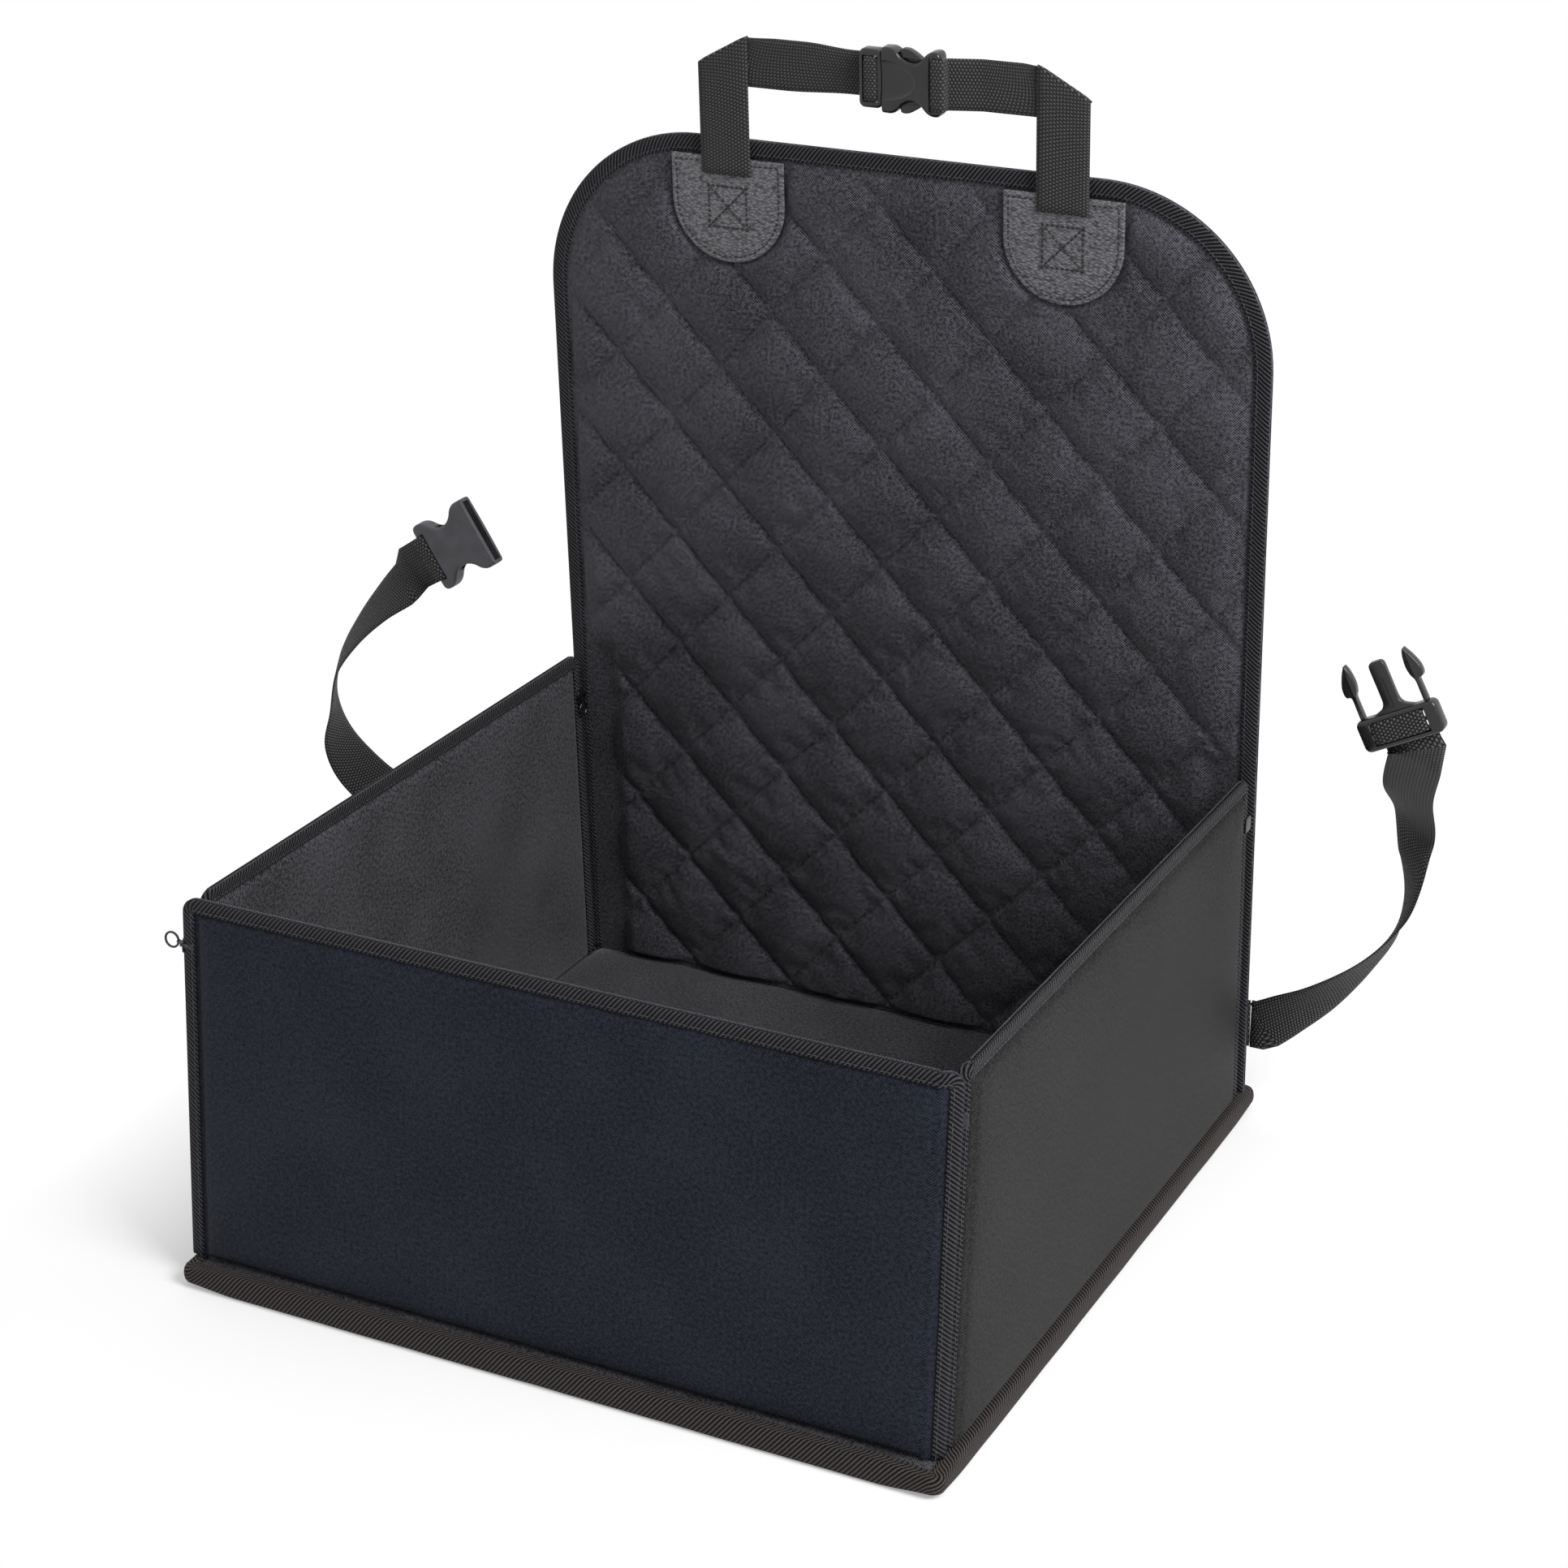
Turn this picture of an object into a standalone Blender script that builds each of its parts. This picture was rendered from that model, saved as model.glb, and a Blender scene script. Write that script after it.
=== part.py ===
"""Dog car seat: a fabric box that stands on a car seat, with a tall quilted backrest.

Metres, +Z up. The origin is the middle of the base's footprint on the ground,
+X is the right-hand side seen from the front and -Y is the front.

The box has a padded base and three stiffened walls that unzip at the corners and
fold outwards. A quilted backrest carries a headrest loop with a closed
side-release buckle, and two lap straps with an open pair of buckle halves.
Each wall is drawn flat in its own hinge frame: x along the wall, y up, z outwards.
"""
import math

import bmesh
import bpy
import numpy as np
from mathutils import Matrix, Vector

# Clearances and cloth
SEAM_GAP = 0.0003
WELD = 0.00001
OVERRUN = 0.002
CLOTH = 0.0012
TAPE = 0.0008
TAPE_CHAMFER = 0.0012
BOARD = 0.003

# Base
BASE_WIDTH = 0.457
BASE_DEPTH = 0.464
BASE_THICKNESS = 0.014
BASE_CORNER = 0.014
BASE_BINDING_LEG = 0.0085
BASE_STEP = 0.002
BASE_BOARD_INSET = 0.003
BASE_CROWN = 0.003
BASE_CROWN_START = 0.024
BASE_CROWN_RUN = 0.05
UNDERSIDE = 0.0023

# Walls
SIDE_LEDGE = 0.0035
END_LEDGE = 0.010
FOOT_WIDTH = BASE_WIDTH - 2 * SIDE_LEDGE
FOOT_DEPTH = BASE_DEPTH - 2 * END_LEDGE
WALL_HEIGHT = 0.210
WALL_THICKNESS = 0.009
WALL_CORNER = 0.012
FRONT_LEAN = math.radians(3.8)
TOP_FLANGE = 0.0105
FRONT_SIDE_FLANGE = 0.0145
SLOPE_RUN = 0.004
SLOPE_DROP = 0.0008
CROWN_RUN = 0.035
POCKET_MARGIN = 0.002
BINDING_LEG = 0.0095
BOTTOM_INSET_SHARE = 0.25
SMALLEST_FILLET = 0.0008

# Backrest
BACK_WIDTH = FOOT_WIDTH
BACK_HEIGHT = 0.543
BACK_CORNER = 0.095
BACK_LEAN = math.radians(3.0)
BACK_CLOTH = 0.0015
QUILT_DIAGONAL = 0.0745
QUILT_TOP_DROP = 0.0132
QUILT_PUFF = 0.005
QUILT_CLEARANCE = 0.004
QUILT_POWER = 0.65
QUILT_STEPS = 4
NOTCH_WIDTH = 0.017

# Leather patches and headrest loop
WEBBING = 0.030
WEBBING_THICKNESS = 0.0016
LOOP_WIDTH = 0.207
LOOP_RISE = 0.063
FOLD_DROP = 0.017
CREASE = 0.0016
SLOT_DROP = 0.0155
SLOT_HEIGHT = 0.0026
PATCH_WIDTH = 0.072
PATCH_LENGTH = 0.058
PATCH_TOP_DROP = 0.0105
PATCH_THICKNESS = 0.0016
TAIL_LENGTH = 0.034

# Side-release buckles; the seam between the halves is x = 0
LOOP_BUCKLE_WIDTH = 0.041
LAP_BUCKLE_WIDTH = 0.046
LOOP_FRAME_LENGTH = 0.014
LAP_FRAME_LENGTH = 0.018
FRAME_THICKNESS = 0.0085
FRAME_RAIL = 0.0024
FRAME_BAR = 0.002
FRAME_BAR_HEIGHT = 0.0026
SLOT_CLEARANCE = 0.0006
TONGUE_LENGTH = 0.025
TONGUE_WIDTH = 0.0088
TONGUE_THICKNESS = 0.004
PRONG_LENGTH = 0.027
PRONG_THICKNESS = 0.005
PRONG_BEAM = 0.0022
BODY_LENGTH = 0.045
BODY_THICKNESS = 0.0105
SOCKET_DEPTH = 0.030
SOCKET_HEIGHT = 0.006
SOCKET_WALL = 0.0022
THUMB_DEPTH = 0.0009
STRAP_SLOT = 0.0034
STRAP_BAR = 0.0034
HARD_EDGE = 0.0009

# Lap straps
LAP_WEBBING = 0.031
LAP_HEIGHT = 0.038
ANCHOR_LENGTH = 0.070
LAP_SEAM = 0.0007
LEFT_LAP_SPAN = (0.193, 0.189, 0.002)
LEFT_BUCKLE_PLACE = (-0.0686, 0.2374, 0.0074)
LEFT_BUCKLE_TURN = math.radians(213)
RIGHT_LAP_SPAN = (0.110, 0.240, 0.100)
RIGHT_BUCKLE_PLACE = (0.1085, 0.2707, 0.1225)
RIGHT_BUCKLE_TURN = math.radians(117)

# Corner zips
ZIP_GAP = 0.0035
CHAIN_WIDTH = 0.0009
CHAIN_THICKNESS = 0.0025
CHAIN_END = 0.012
SLIDER_TOP_DROP = 0.028
SLIDER_LENGTH = 0.0095
SLIDER_WIDTH = 0.009
SLIDER_PLATE = 0.001
SLIDER_END_SHARE = 0.6
BAIL = 0.0012
PULL_WIDTH = 0.0044
PULL_TAB = 0.005
PULL_THICKNESS = 0.001
RING_RADIUS = 0.0042
RING_WIRE = 0.00065

# Steps round curves
CORNER_STEPS = 3
BACK_STEPS = 7
PATCH_STEPS = 10
RING_STEPS = 14
WIRE_STEPS = 6
ROUTE_STEPS = 3

HALF = 0.5
RIGHT_ANGLE = math.pi / 2

for old in list(bpy.data.objects):
    bpy.data.objects.remove(old)


def new_collection(name):
    collection = bpy.data.collections.new(name)
    bpy.context.scene.collection.children.link(collection)
    return collection


SEAT = new_collection("dog_car_seat")
CUTTERS = new_collection("cutters")


def make_material(name, colour, roughness, metallic=0.0):
    material = bpy.data.materials.new(name)
    material.use_nodes = True
    shader = material.node_tree.nodes["Principled BSDF"]
    shader.inputs["Base Color"].default_value = (*colour, 1.0)
    shader.inputs["Roughness"].default_value = roughness
    shader.inputs["Metallic"].default_value = metallic
    return material


# Linear colour, roughness and metallic value of each finish
FINISHES = {
    "oxford_cloth": ((0.017, 0.018, 0.022), 0.75),
    "quilted_cloth": ((0.022, 0.022, 0.027), 0.8),
    "binding_tape": ((0.024, 0.021, 0.020), 0.85),
    "stiffening_board": ((0.30, 0.29, 0.27), 0.6),
    "foam": ((0.45, 0.44, 0.40), 0.95),
    "webbing": ((0.020, 0.019, 0.019), 0.8),
    "grained_leather": ((0.045, 0.045, 0.050), 0.55),
    "buckle_plastic": ((0.035, 0.035, 0.040), 0.5),
    "zip_coil": ((0.012, 0.012, 0.013), 0.5),
    "black_metal": ((0.03, 0.03, 0.032), 0.35, 0.9),
}


# Frames and objects

def make_frame(name, location=(0, 0, 0), rotation=(0, 0, 0), parent=None):
    """An empty that carries a group of pieces; on a moving body it is on the joint's axis."""
    frame = bpy.data.objects.new(name, None)
    frame.location = location
    frame.rotation_euler = rotation
    frame.parent = parent
    SEAT.objects.link(frame)
    return frame


def add_part(name, mesh, finish, frame=None):
    part = bpy.data.objects.new(name, mesh)
    part.parent = frame
    mesh.materials.clear()
    mesh.materials.append(make_material(name, *FINISHES[finish]))
    SEAT.objects.link(part)
    return part


def add_tool(name, mesh, frame=None):
    """A cutter, or a solid that is joined to a part."""
    tool = bpy.data.objects.new(name, mesh)
    tool.parent = frame
    tool.display_type = "WIRE"
    tool.hide_render = True
    CUTTERS.objects.link(tool)
    return tool


def apply_boolean(part, tool, operation):
    modifier = part.modifiers.new(tool.name, "BOOLEAN")
    modifier.operation = operation
    modifier.object = tool
    modifier.solver = "EXACT"


def round_edges(part, width, segments=1):
    modifier = part.modifiers.new("rounded_edges", "BEVEL")
    modifier.width = width
    modifier.segments = segments
    modifier.limit_method = "ANGLE"
    modifier.angle_limit = math.radians(40)


# Meshes

def finish_mesh(name, shape, smooth=True):
    bmesh.ops.remove_doubles(shape, verts=shape.verts, dist=WELD)
    bmesh.ops.recalc_face_normals(shape, faces=shape.faces)
    mesh = bpy.data.meshes.new(name)
    shape.to_mesh(mesh)
    shape.free()
    if smooth:
        mesh.shade_smooth()
        mesh.set_sharp_from_angle(angle=math.radians(35))
    return mesh


def loft(name, rows, wrap_rows=False):
    """A skin over rows of closed sections, capped at both ends unless the rows wrap round."""
    rows = np.asarray(rows, dtype=float)
    row_count, column_count = rows.shape[:2]
    shape = bmesh.new()
    verts = [[shape.verts.new(point) for point in row] for row in rows]
    last = row_count if wrap_rows else row_count - 1
    for i in range(last):
        low, high = verts[i], verts[(i + 1) % row_count]
        for j in range(column_count):
            k = (j + 1) % column_count
            shape.faces.new((low[j], low[k], high[k], high[j]))
    if not wrap_rows:
        shape.faces.new(verts[0][::-1])
        shape.faces.new(verts[-1])
    return finish_mesh(name, shape)


def plate(name, outline, low, high):
    """A flat outline in x and y, filled between two heights."""
    curve = bpy.data.curves.new(name, "CURVE")
    curve.dimensions = "2D"
    curve.fill_mode = "BOTH"
    curve.extrude = (high - low) * HALF
    spline = curve.splines.new("POLY")
    spline.points.add(len(outline) - 1)
    for point, (x, y) in zip(spline.points, outline):
        point.co = (x, y, 0, 1)
    spline.use_cyclic_u = True
    holder = bpy.data.objects.new(name, curve)
    CUTTERS.objects.link(holder)
    depsgraph = bpy.context.evaluated_depsgraph_get()
    filled = bpy.data.meshes.new_from_object(holder.evaluated_get(depsgraph))
    bpy.data.objects.remove(holder)
    bpy.data.curves.remove(curve)
    shape = bmesh.new()
    shape.from_mesh(filled)
    bpy.data.meshes.remove(filled)
    bmesh.ops.translate(shape, verts=shape.verts, vec=(0, 0, (low + high) * HALF))
    return finish_mesh(name, shape)


def box(name, low, high):
    shape = bmesh.new()
    bmesh.ops.create_cube(shape, size=1)
    low, high = Vector(low), Vector(high)
    bmesh.ops.scale(shape, verts=shape.verts, vec=high - low)
    bmesh.ops.translate(shape, verts=shape.verts, vec=(low + high) * HALF)
    return finish_mesh(name, shape, smooth=False)


def rounded_polygon(corners, radii, insets, steps):
    """A convex outline, counter-clockwise, with each side moved in and each corner an arc."""
    corners = [Vector(corner) for corner in corners]
    count = len(corners)
    lines = []
    for i in range(count):
        along = (corners[(i + 1) % count] - corners[i]).normalized()
        inward = Vector((-along.y, along.x))
        lines.append((corners[i] + inward * insets[i], along))
    points = []
    for i in range(count):
        (start, before), (end, after) = lines[i - 1], lines[i]
        cross = before.x * after.y - before.y * after.x
        gap = end - start
        reach = (gap.x * after.y - gap.y * after.x) / cross
        corner = start + before * reach
        radius = radii[i] - min(insets[i - 1], insets[i])
        if steps[i] == 0:
            points.append(tuple(corner))
            continue
        radius = max(radius, SMALLEST_FILLET)
        turn = math.acos(max(-1, min(1, before.dot(after))))
        trim = radius * math.tan(turn * HALF)
        centre = corner - before * trim + Vector((-before.y, before.x)) * radius
        first = math.atan2(-before.x, before.y)
        for k in range(steps[i] + 1):
            angle = first + turn * k / steps[i]
            points.append((centre.x + radius * math.cos(angle), centre.y + radius * math.sin(angle)))
    return points


def raise_ring(outline, height):
    return [(x, y, height) for x, y in outline]


def ribbon(name, stations, width, thickness=WEBBING_THICKNESS):
    """Flat webbing: stations of (centre, direction of its width), with square edges."""
    centres = [Vector(centre) for centre, _ in stations]
    rows = []
    for i, (_, across) in enumerate(stations):
        ahead = centres[min(i + 1, len(centres) - 1)] - centres[max(i - 1, 0)]
        side = Vector(across)
        side = (side - ahead * (side.dot(ahead) / ahead.length_squared)).normalized()
        up = ahead.cross(side).normalized()
        side = side * width * HALF
        up = up * thickness * HALF
        centre = centres[i]
        rows.append([centre - side - up, centre + side - up, centre + side + up, centre - side + up])
    return loft(name, [[tuple(point) for point in row] for row in rows])


def smooth_route(points, steps):
    """A curve through the points, each stretch a cubic that leans on its neighbours."""
    points = [np.asarray(point, dtype=float) for point in points]
    padded = [2 * points[0] - points[1]] + points + [2 * points[-1] - points[-2]]
    route = []
    for i in range(1, len(padded) - 2):
        a, b, c, d = padded[i - 1:i + 3]
        for k in range(steps):
            t = k / steps
            route.append(HALF * (2 * b + (c - a) * t + (2 * a - 5 * b + 4 * c - d) * t ** 2
                                 + (3 * b - a - 3 * c + d) * t ** 3))
    route.append(points[-1])
    return route


# Base

def base_outline(inset):
    x, y = BASE_WIDTH * HALF, BASE_DEPTH * HALF
    corners = [(-x, -y), (x, -y), (x, y), (-x, y)]
    return rounded_polygon(corners, [BASE_CORNER] * 4, [inset] * 4, [CORNER_STEPS] * 4)


def build_base():
    rim = TAPE + 2 * SEAM_GAP
    leg_top = BASE_THICKNESS - TAPE
    flange = TAPE + SEAM_GAP
    section = [(rim, flange), (BASE_BINDING_LEG, flange), (BASE_BINDING_LEG + BASE_STEP, 0)]
    rings = [raise_ring(base_outline(inset), height) for inset, height in reversed(section)]
    rings.append(raise_ring(base_outline(rim), UNDERSIDE))
    add_part("base_underside", loft("base_underside", rings), "oxford_cloth")

    board_low = UNDERSIDE + SEAM_GAP
    board_high = board_low + BOARD
    outline = base_outline(BASE_BOARD_INSET)
    add_part("base_board", plate("base_board", outline, board_low, board_high), "stiffening_board")

    lining_high = leg_top - SEAM_GAP
    lining_low = lining_high - CLOTH
    foam = plate("base_foam", outline, board_high + SEAM_GAP, lining_low - SEAM_GAP)
    add_part("base_foam", foam, "foam")

    section = [(rim, lining_low), (rim, lining_high), (BASE_BINDING_LEG, lining_high),
               (BASE_BINDING_LEG + BASE_STEP, BASE_THICKNESS),
               (BASE_CROWN_START, BASE_THICKNESS),
               (BASE_CROWN_START + BASE_CROWN_RUN, BASE_THICKNESS + BASE_CROWN)]
    rings = [raise_ring(base_outline(inset), height) for inset, height in section]
    add_part("base_lining", loft("base_lining", rings), "oxford_cloth")

    round_off = TAPE_CHAMFER
    section = [(BASE_BINDING_LEG, 0), (round_off, 0), (0, round_off),
               (0, BASE_THICKNESS - round_off), (round_off, BASE_THICKNESS),
               (BASE_BINDING_LEG, BASE_THICKNESS), (BASE_BINDING_LEG, leg_top),
               (TAPE, leg_top), (TAPE, TAPE), (BASE_BINDING_LEG, TAPE)]
    rings = [raise_ring(base_outline(inset), height) for inset, height in section]
    add_part("base_binding", loft("base_binding", rings, wrap_rows=True), "binding_tape")


# Panels: a stiffening board between two padded cloths, their edges bound with tape

class Panel:
    """The flat shape of a wall or of the backrest, in its hinge frame."""

    def __init__(self, name, frame, corners, top_corner, side_flange, steps):
        self.name = name
        self.frame = frame
        self.corners = corners
        self.top_corner = top_corner
        self.side_flange = side_flange
        self.steps = steps
        self.middle = -WALL_THICKNESS * HALF

    def outline(self, top_inset, side_inset=None, bottom_inset=None):
        side = top_inset if side_inset is None else side_inset
        bottom = top_inset * BOTTOM_INSET_SHARE if bottom_inset is None else bottom_inset
        radii = [0, 0, self.top_corner, self.top_corner]
        steps = [0, 0, self.steps, self.steps]
        return rounded_polygon(self.corners, radii, [bottom, side, top_inset, side], steps)

    def add(self, piece, mesh, finish):
        return add_part(f"{self.name}_{piece}", mesh, finish, self.frame)

    def add_cover(self, piece, crown, pocket, inner_side=False):
        """A cloth tray: a thin bound flange, a short slope and a slightly crowned face."""
        side = -1 if inner_side else 1
        flange_in = SEAM_GAP * HALF
        flange_out = flange_in + CLOTH
        rim = TAPE + 2 * SEAM_GAP
        extra = self.side_flange - TOP_FLANGE
        section = [(TOP_FLANGE + SLOPE_RUN + CROWN_RUN, extra, crown),
                   (TOP_FLANGE + SLOPE_RUN, extra, crown - SLOPE_DROP),
                   (TOP_FLANGE, extra, flange_out),
                   (rim, 0, flange_out),
                   (rim, 0, flange_in),
                   (TOP_FLANGE + POCKET_MARGIN, extra, flange_in),
                   (TOP_FLANGE + POCKET_MARGIN, extra, pocket)]
        rings = []
        for inset, more, height in section:
            ring = self.outline(inset, inset + more)
            rings.append(raise_ring(ring, self.middle + side * height))
        name = f"{self.name}_{piece}"
        return self.add(piece, loft(name, rings), "oxford_cloth")

    def add_board(self, low, high):
        inset = TOP_FLANGE + POCKET_MARGIN + SEAM_GAP
        extra = self.side_flange - TOP_FLANGE
        bottom = inset * BOTTOM_INSET_SHARE + SEAM_GAP
        outline = self.outline(inset, inset + extra, bottom)
        mesh = plate(f"{self.name}_board", outline, self.middle + low, self.middle + high)
        return self.add("board", mesh, "stiffening_board")

    def add_binding(self):
        """Tape folded over the flange, open at the bottom edge, as a U carried round it."""
        inner = SEAM_GAP * HALF + CLOTH + SEAM_GAP
        outer = inner + TAPE
        cut = TAPE_CHAMFER
        section = [(BINDING_LEG, outer), (cut, outer), (0, outer - cut), (0, cut - outer),
                   (cut, -outer), (BINDING_LEG, -outer), (BINDING_LEG, -inner),
                   (TAPE, -inner), (TAPE, inner), (BINDING_LEG, inner)]
        tracks = []
        for inset, height in section:
            outline = self.outline(inset, inset, 0)
            tracks.append(raise_ring(outline[1:] + outline[:1], self.middle + height))
        stations = list(zip(*tracks))
        return self.add("binding", loft(f"{self.name}_binding", stations), "binding_tape")


def flange_half_thickness():
    return SEAM_GAP * HALF + CLOTH + SEAM_GAP + TAPE


def hinge_height(lean):
    return BASE_THICKNESS + SEAM_GAP + WALL_THICKNESS * math.sin(lean)


def hinge_frame(name, x, y, lean, yaw):
    rotation = (RIGHT_ANGLE - lean, 0, yaw)
    return make_frame(name, (x, y, hinge_height(lean)), rotation)


def side_wall_ends():
    """How far forward and back a side wall reaches at its bottom and at its top."""
    inset = WALL_THICKNESS * HALF + flange_half_thickness() + ZIP_GAP
    foot = hinge_height(0)
    reach = []
    for height in (0, WALL_HEIGHT):
        front_rise = foot + height - hinge_height(FRONT_LEAN)
        back_rise = foot + height - hinge_height(BACK_LEAN)
        front = -FOOT_DEPTH * HALF + front_rise * math.tan(FRONT_LEAN) + inset / math.cos(FRONT_LEAN)
        back = FOOT_DEPTH * HALF - back_rise * math.tan(BACK_LEAN) - inset / math.cos(BACK_LEAN)
        reach.append((front, back))
    return reach


def build_wall(panel):
    half_board = BOARD * HALF
    panel.add_cover("cover", WALL_THICKNESS * HALF, half_board + SEAM_GAP)
    panel.add_board(-half_board, half_board)
    panel.add_cover("lining", WALL_THICKNESS * HALF, half_board + SEAM_GAP, inner_side=True)
    panel.add_binding()


# Zips: a half chain on each bound edge of a corner, and a slider on the side wall

def add_wall_chain(name, frame, side, height):
    """The half chain on the inner face of the front wall or backrest, near one of its ends."""
    centre = side * (FOOT_WIDTH - WALL_THICKNESS) * HALF
    face = -WALL_THICKNESS * HALF - flange_half_thickness() - SEAM_GAP
    low = (centre - CHAIN_THICKNESS * HALF, CHAIN_END, face - CHAIN_WIDTH)
    high = (centre + CHAIN_THICKNESS * HALF, height - CHAIN_END, face)
    part = add_part(name, box(name, low, high), "zip_coil", frame)
    round_edges(part, CHAIN_WIDTH * HALF * HALF)


def add_side_zip(name, panel, low_end, high_end, outward, pull_outside):
    """The half chain, slider and pull on one upright edge of a side wall.

    low_end and high_end are the edge's ends; outward is the sign of x that points off the wall.
    """
    start, end = Vector(low_end), Vector(high_end)
    along = (end - start).normalized()
    off = Vector((along.y, -along.x)) * outward
    near, far = SEAM_GAP, SEAM_GAP + CHAIN_WIDTH
    first = start + along * CHAIN_END
    last = end - along * CHAIN_END
    outline = [tuple(p) for p in (first + off * near, last + off * near, last + off * far, first + off * far)]
    half = CHAIN_THICKNESS * HALF
    mesh = plate(f"{name}_side_chain", outline, panel.middle - half, panel.middle + half)
    part = add_part(f"{name}_side_chain", mesh, "zip_coil", panel.frame)
    round_edges(part, CHAIN_WIDTH * HALF * HALF)

    place = end - along * SLIDER_TOP_DROP
    tilt = math.atan2(-along.x, along.y)
    slider = make_frame(f"{name}_slider_frame", (place.x, place.y, panel.middle), (0, 0, tilt), panel.frame)
    nose = (ZIP_GAP - CHAIN_WIDTH - 2 * SEAM_GAP) * outward
    tail = nose - SLIDER_WIDTH * outward
    outline = slider_outline((nose + tail) * HALF)
    gap = flange_half_thickness() + SEAM_GAP
    outer = plate(f"{name}_slider", outline, gap, gap + SLIDER_PLATE)
    part = add_part(f"{name}_slider", outer, "black_metal", slider)
    inner = plate(f"{name}_inner_plate", outline, -gap - SLIDER_PLATE, -gap)
    apply_boolean(part, add_tool(f"{name}_inner_plate", inner, slider), "UNION")
    post_x = sorted((nose, (CHAIN_WIDTH + 2 * SEAM_GAP) * outward))
    reach = gap + SLIDER_PLATE * HALF
    post = box(f"{name}_post", (post_x[0], -BAIL, -reach), (post_x[1], BAIL, reach))
    apply_boolean(part, add_tool(f"{name}_post", post, slider), "UNION")
    face = 1 if pull_outside else -1
    pivot_x = tail + (PULL_WIDTH * HALF + 2 * BAIL) * outward
    add_slider_bail(name, part, slider, pivot_x, face, gap)
    add_pull(name, slider, pivot_x, face, gap, pull_outside)


def slider_outline(centre):
    """The outline of a slider's plate, with its corners cut."""
    wide, tall = SLIDER_WIDTH * HALF, SLIDER_LENGTH * HALF
    narrow, low = wide * SLIDER_END_SHARE, tall * SLIDER_END_SHARE
    quarter = [(narrow, -tall), (wide, -low), (wide, low), (narrow, tall)]
    points = quarter + [(-x, y) for x, y in reversed(quarter)]
    return [(centre + x, y) for x, y in points]


def bail_height(gap):
    return gap + SLIDER_PLATE + SEAM_GAP + PULL_THICKNESS * HALF


def add_slider_bail(name, part, slider, pivot_x, face, gap):
    """Two ears on the slider's plate, one on each side of the pull's eye."""
    inner = PULL_WIDTH * HALF + SEAM_GAP
    base = gap + SLIDER_PLATE * HALF
    tip = bail_height(gap) + PULL_THICKNESS * HALF + BAIL * HALF
    for side in (-1, 1):
        x = sorted((pivot_x + side * inner, pivot_x + side * (inner + BAIL)))
        z = sorted((face * base, face * tip))
        ear = box(f"{name}_ear", (x[0], -BAIL, z[0]), (x[1], BAIL, z[1]))
        apply_boolean(part, add_tool(f"{name}_ear_{side}", ear, slider), "UNION")


def add_pull(name, slider, pivot_x, face, gap, pull_outside):
    """A tapered tab that ends in a wire ring, hanging down or held out from the wall."""
    turn = -RIGHT_ANGLE if pull_outside else 0
    hinge = make_frame(f"{name}_pull_frame", (pivot_x, 0, face * bail_height(gap)), (turn, 0, 0), slider)
    half, tip = PULL_WIDTH * HALF, PULL_WIDTH * HALF * SLIDER_END_SHARE
    outline = [(-tip, -PULL_TAB), (tip, -PULL_TAB), (half, 0), (-half, 0)]
    tab = plate(f"{name}_pull", outline, -PULL_THICKNESS * HALF, PULL_THICKNESS * HALF)
    part = add_part(f"{name}_pull", tab, "black_metal", hinge)
    ring = ring_mesh(f"{name}_ring")
    if pull_outside:
        ring.transform(Matrix.Rotation(RIGHT_ANGLE, 4, "Y"))
    ring.transform(Matrix.Translation((0, RING_WIRE - PULL_TAB - RING_RADIUS, 0)))
    apply_boolean(part, add_tool(f"{name}_ring", ring, hinge), "UNION")


def ring_mesh(name):
    rows = []
    for i in range(RING_STEPS):
        turn = 2 * math.pi * i / RING_STEPS
        row = []
        for j in range(WIRE_STEPS):
            angle = 2 * math.pi * (j + HALF) / WIRE_STEPS
            radius = RING_RADIUS + RING_WIRE * math.cos(angle)
            row.append((radius * math.cos(turn), radius * math.sin(turn), RING_WIRE * math.sin(angle)))
        rows.append(row)
    return loft(name, rows, wrap_rows=True)


# Backrest

def lattice_stations(low, high, origin, step):
    """Places on a lattice between two ends, kept clear of both, with the ends themselves."""
    first = math.ceil((low + QUILT_CLEARANCE - origin) / step)
    last = math.floor((high - QUILT_CLEARANCE - origin) / step)
    return [low] + [origin + i * step for i in range(first, last + 1)] + [high]


def quilt_puff(x, y):
    """How far a place on the backrest stands off the flange: zero on each channel and at the edge.

    The channels run at 45 degrees, so they are where x + y or x - y is a whole number of
    diagonals. Between them the puff is the product of two arcs.
    """
    across = (x + y - BACK_HEIGHT + QUILT_TOP_DROP) / QUILT_DIAGONAL
    along = (x - y + BACK_HEIGHT - QUILT_TOP_DROP) / QUILT_DIAGONAL
    puff = np.abs(np.sin(math.pi * across) * np.sin(math.pi * along)) ** QUILT_POWER
    step = QUILT_DIAGONAL / QUILT_STEPS
    half = BACK_WIDTH * HALF
    by_zip = (np.abs(x) > half - TOP_FLANGE - NOTCH_WIDTH - step) & (y < WALL_HEIGHT + step)
    reach = PATCH_WIDTH * HALF + step
    by_patch = np.abs(np.abs(x) - LOOP_WIDTH * HALF) < reach
    by_patch &= y > BACK_HEIGHT - PATCH_TOP_DROP - PATCH_LENGTH - step
    return np.where(by_zip | by_patch, 0, QUILT_PUFF * puff)


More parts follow.
